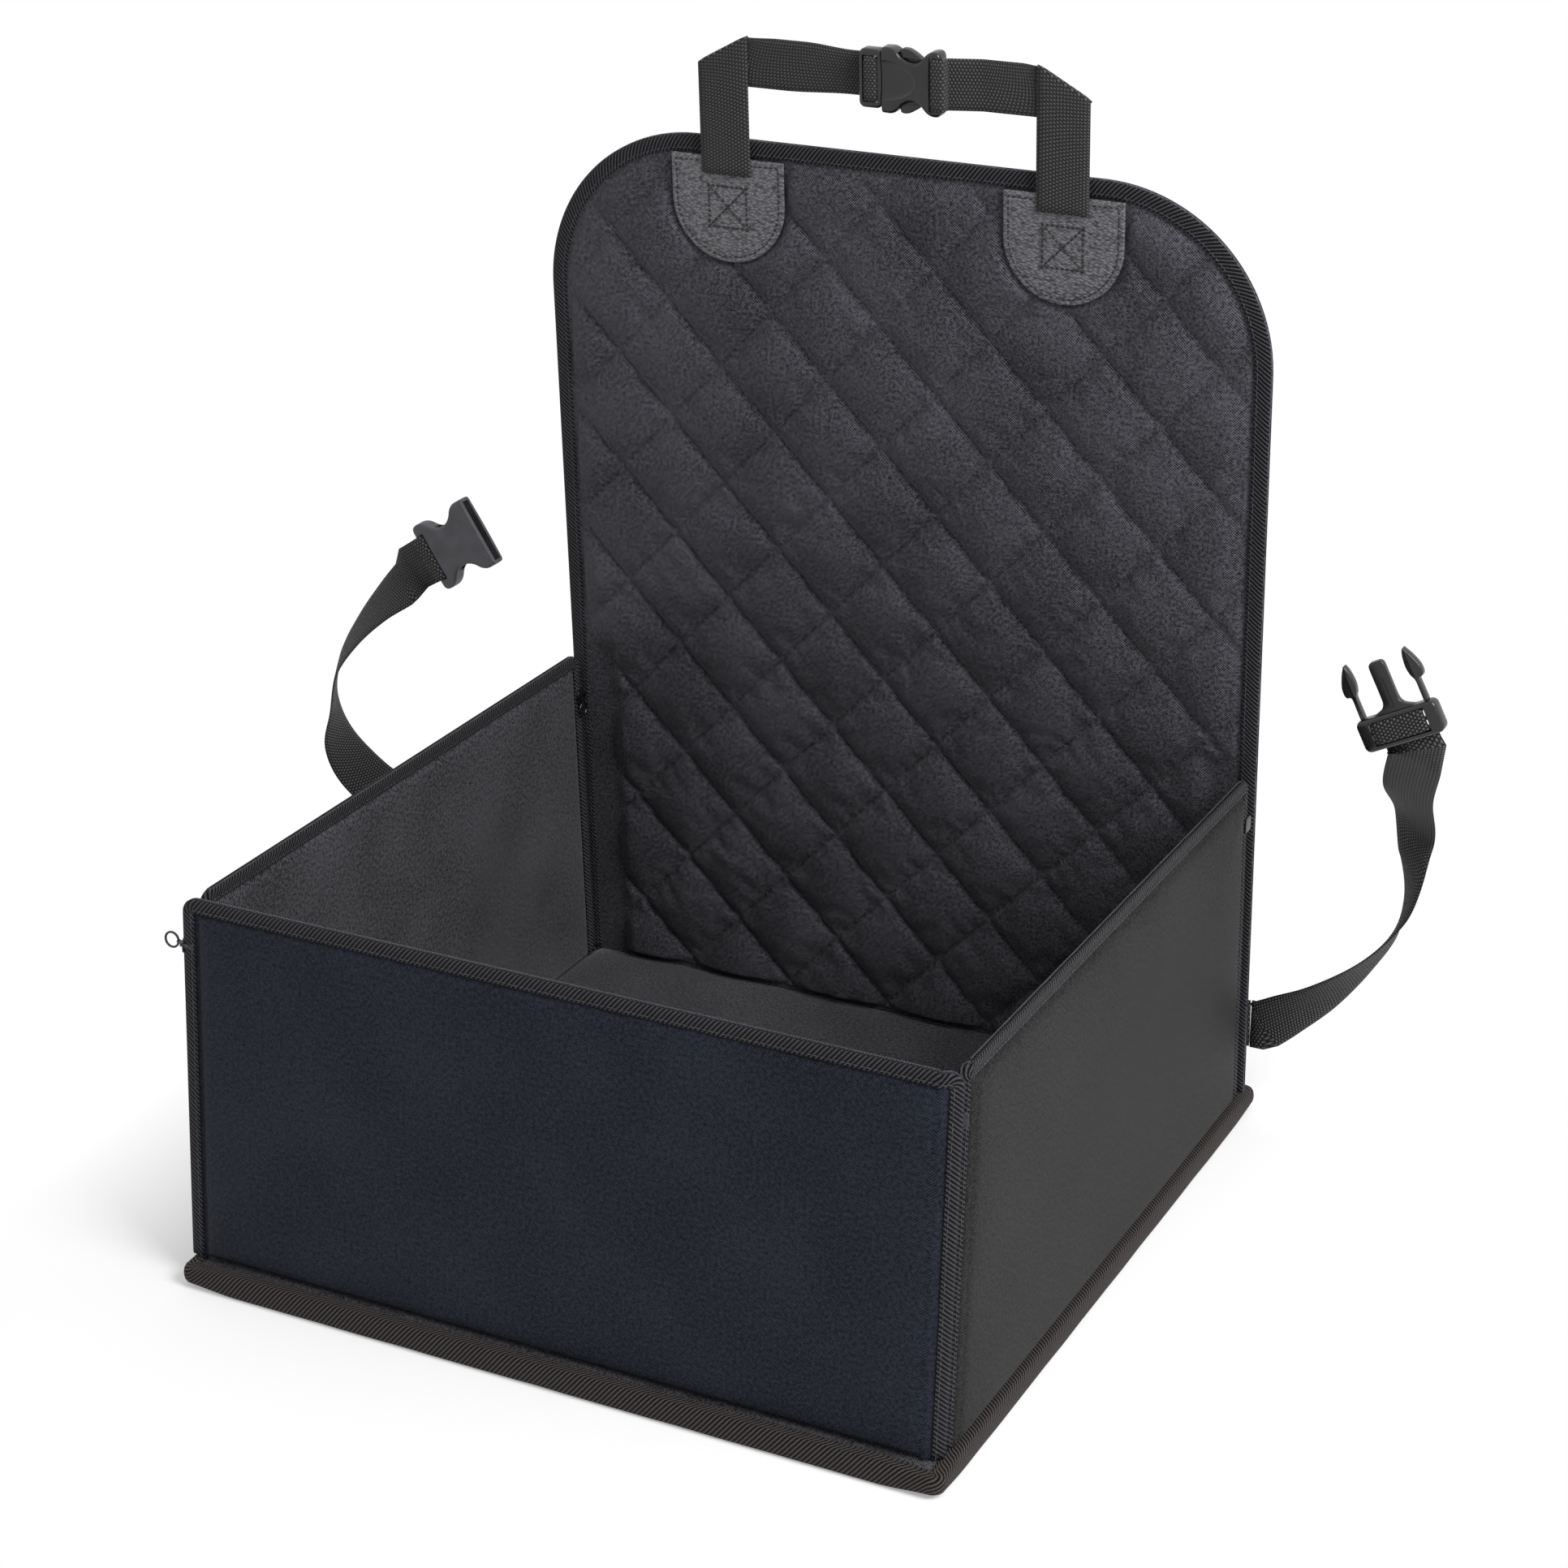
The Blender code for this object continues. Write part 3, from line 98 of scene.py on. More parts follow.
# At the front's right corner both flanges turn in and the zip lies across the corner; at its left
# corner the front's flange stands out past the side wall
FRONT_FOLD, SIDE_FOLD, FOLD_ROOT, LEFT_LIP = math.radians(42), math.radians(36), -0.0027, 0.0026
LEFT_PULL_SHIFT, LOOP_BUCKLE_SHIFT = (0.007, 0, 0.0035), 0.0095
# How far before its root a fold starts to turn, and the distance in which it has turned
FOLD_START, FOLD_EASE = 0.002, 0.003
# The base's rim is pressed together at its corners: by this share, within about this distance
PINCH_SHARE, PINCH_REACH = 0.34, 0.022
# A wall's padding: how soon the cloth turns up at its seam, its first step, the distance in which
# it reaches its crown, its slow wave's height and length, and how far a pucker runs in
SEAM_TURN, PAD_STEP, CROWN_REACH = 0.0016, 0.0024, 0.014
SLOW_WAVE, SLOW_LENGTH, PUCKER_REACH = 0.0004, 0.16, 0.007
TOP_PUCKERS, SIDE_PUCKERS = 0.016, 0.014
# How much higher the crown is, and a pucker's height, on the walls and on the backrest's rear
WALL_LIFT, WALL_PUCKER, REAR_LIFT, REAR_PUCKER = 0.0022, 0.00032, 0.0012, 0.0002
# The cloth's inner side: how far past the flange it leaves the middle, and by how much
HOLLOW_START, HOLLOW_EASE, WALL_HOLLOW, REAR_HOLLOW = 0.0025, 0.001, 0.0015 + SEAM_GAP, 0.0017
PAD_SPACING, QUILT_SPACING, REAR_SPACING = 0.004, 0.0019, 0.006
# How far inside the tape's edge its stitches run, and each kind of row: the distance from stitch to
# stitch, a stitch's length and width, and how far it lies off the surface
ROW_INSET, EDGE_ROW, BASE_ROW = 0.0018, (0.0036, 0.0026, 0.0007), (0.0036, 0.0026)
QUILT_ROW, BOX_ROW = (0.0040, 0.0028, 0.0008), (0.0030, 0.0025, 0.0013, 0.0002)
PATCH_ROW, PATCH_ROW_INSET, PATCH_BOX, ANCHOR_BOX = (0.0034, 0.0025, 0.0009, 0.0003), 0.0034, 0.024, 0.026
SHARP_TURN = math.radians(38)


# Places

def hinge_frame(x, y, lean, yaw):
    """Origin and axes of a hinge: the wall is tipped up about X less its lean, then turned to its side."""
    c, s = math.cos(RIGHT_ANGLE - lean), math.sin(RIGHT_ANGLE - lean)
    tip = np.array([[1, 0, 0], [0, c, -s], [0, s, c]])
    c, s = math.cos(yaw), math.sin(yaw)
    turn = np.array([[c, -s, 0], [s, c, 0], [0, 0, 1]])
    height = BASE_THICKNESS + SEAM_GAP + WALL_THICKNESS * math.sin(lean)
    return np.array([x, y, height]), turn @ tip


def inside(outer, origin, axes=None):
    """A frame given in another frame's own coordinates."""
    axes = np.eye(3) if axes is None else axes
    return outer[0] + outer[1] @ np.asarray(origin, float), outer[1] @ axes


def put(points, place):
    """A frame's points in the world: its origin plus each coordinate times its own axis."""
    return place[0] + np.asarray(points, float) @ place[1].T


def placed(part, place):
    """A part, which is points, faces and UVs, with its points put in the world."""
    return put(part[0], place), part[1], part[2]


def about(axis, angle):
    """Axes turned by an angle about one of them."""
    return np.array(Matrix.Rotation(angle, 3, axis))


GROUND = (np.zeros(3), np.eye(3))
FRONT = hinge_frame(0, -FOOT_DEPTH / 2, FRONT_LEAN, 0)
RIGHT = hinge_frame(FOOT_WIDTH / 2, 0, 0, RIGHT_ANGLE)
LEFT = hinge_frame(-FOOT_WIDTH / 2, 0, 0, -RIGHT_ANGLE)
BACK = hinge_frame(0, FOOT_DEPTH / 2, BACK_LEAN, math.pi)


# Meshes

def spread(*values):
    """Arrays of different shapes as the columns of one: each is repeated over the others."""
    return np.stack(np.broadcast_arrays(*values), -1)


def sheet_uv(along, across):
    """The UVs of a grid: one value for each of its rows and one for each of its columns."""
    return spread(along[:, None], across[None, :])


def run_along(points):
    """The way covered at each point of a polyline: the sum of the distances before it."""
    return np.concatenate([[0], np.cumsum(np.linalg.norm(np.diff(points, axis=0), axis=1))])


def eased(share):
    """A share that starts and ends level: its square times three less twice itself."""
    return share * share * (3 - 2 * share)


def grid_part(grid, uv, wrap=False, caps=False):
    """Points, faces and the faces' UVs of a skin over a grid; wrap joins the last column to the
    first, and caps closes the first and the last row."""
    rows, columns = grid.shape[:2]
    r = np.arange(rows - 1)[:, None]
    c = np.arange(columns if wrap else columns - 1)[None, :]
    after = (c + 1) % columns
    low, high = r * columns, (r + 1) * columns
    quads = spread(low + c, low + after, high + after, high + c).reshape(-1, 4)
    wide = uv.shape[1]
    low, high = r * wide, (r + 1) * wide
    spots = spread(low + c, low + c + 1, high + c + 1, high + c).reshape(-1, 4)
    faces, face_uv = quads.tolist(), uv.reshape(-1, 2)[spots].reshape(-1, 2)
    if caps:
        last = (rows - 1) * columns
        faces += [list(range(columns))[::-1], list(range(last, last + columns))]
        ends = [uv[0, :columns][::-1], uv[-1, :columns]]
        face_uv = np.concatenate([face_uv] + ends)
    return grid.reshape(-1, 3), faces, face_uv


def closed_rings(grid):
    """A solid through rings of points, closed at both ends, with UVs as seen from above."""
    uv = np.concatenate([grid[..., :2], grid[:, :1, :2]], axis=1)
    return grid_part(grid, uv, wrap=True, caps=True)


def make_piece(name, parts, material, body, weld=1e-6):
    """One mesh from its parts, with doubles merged and faces turned outwards."""
    points, faces, uvs, start = [], [], [], 0
    for part_points, part_faces, part_uv in parts:
        points.append(part_points)
        faces += [[index + start for index in face] for face in part_faces]
        uvs.append(part_uv)
        start += len(part_points)
    mesh = bpy.data.meshes.new(name)
    mesh.from_pydata(np.concatenate(points).tolist(), [], faces)
    layer = mesh.uv_layers.new(name="cloth")
    layer.data.foreach_set("uv", np.concatenate(uvs).astype(np.float32).ravel())
    shape = bmesh.new()
    shape.from_mesh(mesh)
    if weld:
        bmesh.ops.remove_doubles(shape, verts=shape.verts, dist=weld)
    bmesh.ops.recalc_face_normals(shape, faces=shape.faces)
    shape.to_mesh(mesh)
    shape.free()
    mesh.polygons.foreach_set("use_smooth", np.ones(len(mesh.polygons), bool))
    piece = bpy.data.objects.new(name, mesh)
    bpy.context.scene.collection.objects.link(piece)
    mesh.materials.append(material)
    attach(piece, body)
    return piece


def smooth_route(points, steps):
    """A curve through the points, each stretch a cubic that leans on its neighbours."""
    p = np.asarray(points, float)
    p = np.vstack([2 * p[0] - p[1], p, 2 * p[-1] - p[-2]])
    a, b, c, d = (p[i:len(p) - 3 + i, None, :] for i in range(4))
    t = (np.arange(steps) / steps)[None, :, None]
    square, cube = 2 * a - 5 * b + 4 * c - d, 3 * b - a - 3 * c + d
    route = 0.5 * (2 * b + (c - a) * t + square * t ** 2 + cube * t ** 3)
    return np.vstack([route.reshape(-1, p.shape[1]), p[-2:-1]])


def resample(points, spacing):
    """The same polyline with its points a given distance apart along it."""
    points = np.asarray(points, float)
    run = run_along(points)
    at = np.linspace(0, run[-1], max(2, int(round(run[-1] / spacing)) + 1))
    return np.stack([np.interp(at, run, points[:, k]) for k in range(points.shape[1])], -1)


def unit(vectors):
    """Each vector over its own length."""
    return vectors / np.maximum(np.linalg.norm(vectors, axis=-1, keepdims=True), 1e-12)


def thick_sheet(grid, uv, thickness):
    """A strap or sheet of even thickness: the grid moved half of it each way along its own
    normals, thinner at the two long edges by the eighth power of the share across."""
    normal = unit(np.cross(np.gradient(grid, axis=0), np.gradient(grid, axis=1)))
    across = np.linspace(-1, 1, grid.shape[1])[None, :, None]
    half = thickness / 2 * np.maximum(1 - np.abs(across) ** 8, 0.12) ** 0.5
    ring = np.concatenate([grid + normal * half, (grid - normal * half)[:, ::-1]], axis=1)
    ring_uv = np.concatenate([uv, uv[:, ::-1], uv[:, :1]], axis=1)
    return grid_part(ring, ring_uv, wrap=True, caps=True)


def wire_ring(path, radius, sides=10):
    """A round wire along a closed path: a circle at each point, whose first direction is at
    right angles to the path and to a slanted line that the path never follows."""
    ahead = unit(np.roll(path, -1, 0) - np.roll(path, 1, 0))
    side = unit(np.cross(ahead, [0.31, 0.83, 0.46]))[:, None]
    up = np.cross(ahead[:, None], side)
    angle = np.linspace(0, 2 * math.pi, sides, endpoint=False)[None, :, None]
    ring = path[:, None] + radius * (np.cos(angle) * side + np.sin(angle) * up)
    uv = sheet_uv(np.linspace(0, 0.01 * len(path), len(path)), np.linspace(0, radius * 6, sides + 1))
    return grid_part(np.concatenate([ring, ring[:1]]), np.concatenate([uv, uv[:1]]), wrap=True)


def thread_stitches(path, normal, pitch, length, width=0.00055, lift=0.0002):
    """A row of stitches: one small capsule, repeated along the path and laid on its surface.

    The capsule's rows are circles whose radius is the root of one less the square of the
    share along it, flattened to two thirds across the surface's normal.
    """
    if np.ndim(normal) == 2:
        both = resample(np.column_stack([path, normal * 1e-6]), pitch)
        centres, normal = both[:, :3], both[:, 3:]
    else:
        centres = resample(path, pitch)
    ahead = unit(np.gradient(centres, axis=0))
    normal = unit(np.broadcast_to(np.asarray(normal, float), centres.shape) * 1e6)
    side = unit(np.cross(normal, ahead))
    along = np.array([-1, -0.75, 0, 0.75, 1])
    round_ = np.sqrt(np.maximum(1 - along ** 2, 0.02))
    angle = np.linspace(0, 2 * math.pi, 6, endpoint=False)
    a = np.broadcast_to(along[:, None] * length / 2, (5, 6))
    b = round_[:, None] * np.cos(angle) * width / 2
    c = round_[:, None] * np.sin(angle) * width / 3
    grid = (centres[:, None, None] + a[..., None] * ahead[:, None, None] + b[..., None] * side[:, None, None]
            + (c[..., None] + lift) * normal[:, None, None])
    count = len(centres)
    points = grid.reshape(-1, 3)
    _, faces, face_uv = grid_part(grid[0], np.zeros((5, 7, 2)), wrap=True, caps=True)
    all_faces = [[index + 30 * k for index in face] for k in range(count) for face in faces]
    return points, all_faces, np.tile(face_uv, (count, 1))


def ripple(t, seed, wavelength):
    """An uneven wave along one coordinate: four sines near one wavelength with seeded phases."""
    rng = np.random.default_rng(seed)
    lengths = wavelength * rng.uniform(0.6, 1.7, 4)
    phases = rng.uniform(0, 2 * math.pi, 4)
    return sum(np.sin(2 * math.pi * t / length + phase) for length, phase in zip(lengths, phases)) / 4


def swell(x, y, seed, wavelength):
    """An uneven surface: five plane waves in seeded directions."""
    rng = np.random.default_rng(seed)
    total = 0
    for _ in range(5):
        turn, phase = rng.uniform(0, math.pi), rng.uniform(0, 2 * math.pi)
        length = wavelength * rng.uniform(0.6, 1.6)
        total = total + np.sin(2 * math.pi * (x * math.cos(turn) + y * math.sin(turn)) / length + phase)
    return total / 5


# Materials

# Fibres shade one another, so cloth mirrors less of the white room than a smooth plastic does
FIBRE_GLOSS = 0.1


def linear(hexadecimal):
    """An sRGB hex colour as the linear values that the shader takes."""
    values = [int(hexadecimal[i:i + 2], 16) / 255 for i in (1, 3, 5)]
    return tuple(v / 12.92 if v <= 0.04045 else ((v + 0.055) / 1.055) ** 2.4 for v in values) + (1.0,)


def add(tree, kind, settings=None, inputs=None):
    """Adds a node, sets its properties, and fills or links its inputs by name or number."""
    made = tree.nodes.new("ShaderNode" + kind)
    for key, value in (settings or {}).items():
        setattr(made, key, value)
    for key, value in (inputs or {}).items():
        if isinstance(value, bpy.types.NodeSocket):
            tree.links.new(value, made.inputs[key])
        else:
            made.inputs[key].default_value = value
    return made


def maths(tree, operation, first, second=0.0):
    """One value worked out from two."""
    return add(tree, "Math", {"operation": operation}, {0: first, 1: second}).outputs[0]


def plus(tree, first, second, share):
    """The first value plus a share of the second."""
    return maths(tree, "ADD", first, maths(tree, "MULTIPLY", second, share))


def new_material(name):
    """An empty material, its tree and its shader."""
    material = bpy.data.materials.new(name)
    material.use_nodes = True
    return material, material.node_tree, material.node_tree.nodes["Principled BSDF"]


def noise(tree, place, scale, detail, roughness=0.5):
    """Uneven specks from 0 to 1, so many to the place's unit."""
    inputs = {"Vector": place, "Scale": scale, "Detail": detail, "Roughness": roughness}
    return add(tree, "TexNoise", None, inputs).outputs["Fac"]


def paint(tree, shader, factor, stops):
    """Colours the surface by a value: straight from one (place, colour) to the other."""
    made = add(tree, "ValToRGB", None, {"Fac": factor})
    for element, (place, colour) in zip(made.color_ramp.elements, stops):
        element.position = place
        element.color = linear(colour)
    tree.links.new(made.outputs["Color"], shader.inputs["Base Color"])


def roughen(tree, shader, factor, low, high):
    """Roughness from low to high as a value goes from 0 to 1."""
    made = add(tree, "MapRange", None, {"Value": factor, "To Min": low, "To Max": high})
    tree.links.new(made.outputs["Result"], shader.inputs["Roughness"])


def emboss(tree, shader, height, strength, depth):
    """Shades the surface as a relief would: the height times its depth in metres."""
    made = add(tree, "Bump", None, {"Height": height, "Strength": strength, "Distance": depth})
    tree.links.new(made.outputs["Normal"], shader.inputs["Normal"])


def fibres(shader, sheen, spread_of_sheen=0.5):
    """A cloth's dull mirror, and the light that its fuzz catches."""
    shader.inputs["Specular IOR Level"].default_value = FIBRE_GLOSS
    shader.inputs["Sheen Weight"].default_value = sheen
    shader.inputs["Sheen Roughness"].default_value = spread_of_sheen


def cloth_uv(tree):
    """The piece's own UV in millimetres: along the cloth, across it, and both as one vector."""
    uv = add(tree, "UVMap", {"uv_map": "cloth"}).outputs["UV"]
    scaled = add(tree, "VectorMath", {"operation": "SCALE"}, {0: uv, "Scale": 1000.0}).outputs["Vector"]
    parts = add(tree, "SeparateXYZ", None, {0: scaled})
    return parts.outputs["X"], parts.outputs["Y"], scaled


def wave_of(tree, value, pitch):
    """A sine of one coordinate with its pitch in millimetres, from -1 to 1."""
    return maths(tree, "SINE", maths(tree, "MULTIPLY", value, 2 * math.pi / pitch))


def woven(name, dark, light, pitch, roughness, bump, sheen=0.08):
    """Plain-woven coated polyester: warp and weft are two sines at right angles whose product
    gives the over-and-under of the threads, with fine flecks and a slow cloud over them. Threads
    of about 0.5 mm are drawn at the pitch given, coarser than real, so that they show."""
    material, tree, shader = new_material(name)
    u, v, flat = cloth_uv(tree)
    weave = maths(tree, "MULTIPLY", wave_of(tree, u, pitch), wave_of(tree, v, pitch))
    fleck, cloud = noise(tree, flat, 0.5, 4.0, 0.8), noise(tree, flat, 1 / 60, 3.0)
    mix = plus(tree, fleck, weave, 0.16)
    mix = plus(tree, mix, maths(tree, "SUBTRACT", cloud, 0.5), 0.2)
    paint(tree, shader, mix, [(0.40, dark), (0.60, light)])
    roughen(tree, shader, cloud, roughness - 0.06, roughness + 0.06)
    emboss(tree, shader, plus(tree, maths(tree, "MULTIPLY", weave, 0.5), fleck, 0.8), bump, 0.0003)
    fibres(shader, sheen, 0.45)
    return material


def ribbed_tape(name, dark, light, rib, roughness):
    """Twill binding tape: slanted ribs, whose phase is the place along the tape plus most of the
    place across it, broken by the threads that cross them. Real ribs are 1.6 mm apart; they
    are drawn a little coarser, so that they show, with painted black shade between them and a
    painted dull glint on top."""
    material, tree, shader = new_material(name)
    u, v, flat = cloth_uv(tree)
    slant, cross = plus(tree, u, v, 0.8), plus(tree, u, v, -1.9)
    ribs = plus(tree, wave_of(tree, slant, rib), wave_of(tree, cross, rib * 0.55), 0.35)
    fuzz = noise(tree, flat, 1.6, 3.0)
    # Painted light: the ribs' tops are coloured lighter as a dull glint, and the grooves between them black as
    # shade
    paint(tree, shader, plus(tree, fuzz, ribs, 0.45), [(0.3, dark), (0.95, light)])
    shader.inputs["Roughness"].default_value = roughness
    emboss(tree, shader, plus(tree, maths(tree, "MULTIPLY", ribs, 0.5), fuzz, 0.4), 1.0, 0.0008)
    fibres(shader, 0.03, 0.4)
    return material


def strap_webbing(name, dark, light):
    """Polypropylene webbing: thick weft ribs across the strap, broken into dots by the warp,
    with each second column half a pitch along. Real ribs are 1.6 mm apart."""
    material, tree, shader = new_material(name)
    u, v, flat = cloth_uv(tree)
    column = maths(tree, "FLOOR", maths(tree, "DIVIDE", v, 1.9))
    shifted = maths(tree, "ADD", u, maths(tree, "PINGPONG", column, 1.0))
    dots = maths(tree, "MULTIPLY", maths(tree, "ADD", wave_of(tree, shifted, 2.0), 1.0),
                 maths(tree, "ABSOLUTE", wave_of(tree, v, 3.8)))
    mix = plus(tree, maths(tree, "MULTIPLY", dots, 0.32), noise(tree, flat, 2.0, 3.0), 0.4)
    paint(tree, shader, mix, [(0.2, dark), (0.75, light)])
    shader.inputs["Roughness"].default_value = 0.62
    emboss(tree, shader, dots, 0.9, 0.0005)
    fibres(shader, 0.06)
    return material


def pebbled_leather(name, dark, light):
    """Embossed leatherette: pebbles of about 2.4 by 1.3 mm, laid aslant, with soft glossy tops,
    a painted highlight on each top and painted shade in the creases between them.
    """
    material, tree, shader = new_material(name)
    flat = cloth_uv(tree)[2]
    turned = {"Vector": flat, "Rotation": (0, 0, 0.8), "Scale": (0.42, 0.75, 1.0)}
    laid = add(tree, "Mapping", None, turned).outputs[0]
    soft = {"Vector": laid, "Scale": 1.0, "Smoothness": 0.3, "Randomness": 0.75}
    cells = add(tree, "TexVoronoi", {"feature": "SMOOTH_F1"}, soft).outputs["Distance"]
    pores = maths(tree, "MULTIPLY", noise(tree, flat, 2.5, 2.0), 0.25)
    # Painted light: each pebble's middle is coloured lighter as a highlight, and its rim darker as shade in
    # the crease
    paint(tree, shader, cells, [(0.15, light), (0.9, dark)])
    roughen(tree, shader, cells, 0.34, 0.6)
    emboss(tree, shader, maths(tree, "SUBTRACT", pores, cells), 1.0, 0.0007)
    return material


def moulded_plastic(name, dark, light, roughness, grain, bump):
    """Injection-moulded acetal: one nearly even colour, with the fine spark texture of the mould
    in its gloss and a slight bump."""
    material, tree, shader = new_material(name)
    place = add(tree, "TexCoord").outputs["Object"]
    fine = noise(tree, place, grain, 3.0)
    paint(tree, shader, noise(tree, place, 90.0, 2.0), [(0.3, dark), (0.7, light)])
    roughen(tree, shader, fine, roughness - 0.08, roughness + 0.08)
    emboss(tree, shader, fine, bump, 0.0002)
    return material


def black_plated_zinc(name):
    """Die-cast zinc, black plated: a dark metal whose polish is a little uneven."""
    material, tree, shader = new_material(name)
    wear = noise(tree, add(tree, "TexCoord").outputs["Object"], 500.0, 3.0)
    paint(tree, shader, wear, [(0.35, "#2A2A2C"), (0.8, "#59595C")])
    roughen(tree, shader, wear, 0.22, 0.42)
    shader.inputs["Metallic"].default_value = 0.9
    return material


def plain_core(name, dark, light, scale):
    """Board or foam inside the cloth: a mottled core that shows only where it is cut open."""
    material, tree, shader = new_material(name)
    cells = noise(tree, add(tree, "TexCoord").outputs["Object"], scale, 4.0)
    paint(tree, shader, cells, [(0.3, dark), (0.7, light)])
    shader.inputs["Roughness"].default_value = 0.9
    emboss(tree, shader, cells, 0.4, 0.0003)
    return material


OXFORD = woven("coated_oxford_polyester", "#020305", "#262B38", 1.6, 0.6, 0.8, sheen=0.05)
SIDE_OXFORD = woven("coated_oxford_polyester_side", "#030303", "#2C2C2C", 1.6, 0.62, 0.8, sheen=0.03)
LINING = woven("coated_oxford_lining", "#0E0E10", "#505055", 1.6, 0.56, 0.6, sheen=0.12)
QUILTED = woven("brushed_quilting_polyester", "#101013", "#54545B", 1.5, 0.68, 0.9, sheen=0.16)
UNDERSIDE = woven("non_slip_base_cloth", "#0E0E10", "#1C1C1F", 2.2, 0.7, 0.7)
# In both tapes the light colour is the painted glint on the ribs' tops, and the dark colour the painted shade
# between them
TAPE = ribbed_tape("twill_binding_tape", "#010102", "#4C4C51", 2.6, 0.62)
BASE_TAPE = ribbed_tape("twill_base_binding_tape", "#030202", "#5A5350", 2.6, 0.66)
STRAP = strap_webbing("polypropylene_webbing", "#050505", "#5C5A5A")
LOOP_STRAP = strap_webbing("smooth_polypropylene_webbing", "#202021", "#555456")
# The leatherette's light colour is the painted highlight on its pebbles, and its dark colour the painted shade
# in their creases
LEATHER = pebbled_leather("pebbled_leatherette", "#1C1B1E", "#747379")
THREAD = moulded_plastic("polyester_thread", "#262628", "#404044", 0.5, 2500.0, 0.2)
DARK_THREAD = moulded_plastic("black_polyester_thread", "#050506", "#121214", 0.55, 2500.0, 0.2)
GLOSS = moulded_plastic("glossy_moulded_acetal", "#0E0E10", "#17171A", 0.26, 900.0, 0.05)
MATTE = moulded_plastic("spark_textured_acetal", "#2E2E33", "#3E3E44", 0.5, 1600.0, 0.5)
COIL = moulded_plastic("nylon_zip_coil", "#0F0F10", "#1D1D1F", 0.45, 1500.0, 0.1)
ZINC = black_plated_zinc("black_plated_zinc")
BOARD = plain_core("grey_stiffening_board", "#77746F", "#9A9791", 300.0)
FOAM = plain_core("open_cell_foam", "#A5A299", "#C0BDB4", 900.0)


# Cloth simulation

def blow_up(grid, held, pressure, slack, cap):
    """Swells a flat sheet of cloth: the held points stay, pressure lifts the others along +Z, and
    the cloth is cut larger by the slack so that it puckers at what holds it. Returns how far
    each point moved, no further than the cap."""
    rows, columns = grid.shape[:2]
    points, faces, _ = grid_part(grid, np.zeros((rows, columns, 2)))
    mesh = bpy.data.meshes.new("swelling")
    mesh.from_pydata(points.tolist(), [], faces)
    sheet = bpy.data.objects.new("swelling", mesh)
    bpy.context.scene.collection.objects.link(sheet)
    group = sheet.vertex_groups.new(name="held")
    group.add(np.flatnonzero(held.ravel()).tolist(), 1.0, "REPLACE")
    cloth = sheet.modifiers.new("cloth", "CLOTH")
    settings = cloth.settings
    settings.vertex_group_mass = "held"
    settings.effector_weights.gravity = 0
    settings.use_pressure = True
    settings.uniform_pressure_force = pressure
    settings.shrink_min = -slack
    settings.mass = 0.15
    settings.quality = 6
    settings.bending_stiffness = 0.3
    settings.tension_stiffness = 15
    settings.compression_stiffness = 10
    cloth.collision_settings.use_collision = False
    scene = bpy.context.scene
    for moment in range(1, 21):
        scene.frame_set(moment)
    solved = sheet.evaluated_get(bpy.context.evaluated_depsgraph_get()).to_mesh()
    moved = np.empty(len(points) * 3)
    solved.vertices.foreach_get("co", moved)
    moved = moved.reshape(-1, 3) - points
    far = np.linalg.norm(moved, axis=1, keepdims=True)
    moved *= np.minimum(1, cap / np.maximum(far, 1e-9))
    scene.frame_set(1)
    bpy.data.objects.remove(sheet)
    bpy.data.meshes.remove(mesh)
    return moved.reshape(rows, columns, 3)


def look_up(table, x, y):
    """A grid's values between its points: from the four nearest in proportion."""
    x, y = np.clip(x, 0, table.shape[1] - 1.001), np.clip(y, 0, table.shape[0] - 1.001)
    i, j = x.astype(int), y.astype(int)
    a, b = x - i, y - j
    return ((table[j, i] * (1 - a) + table[j, i + 1] * a) * (1 - b)
            + (table[j + 1, i] * (1 - a) + table[j + 1, i + 1] * a) * b)


# Panels

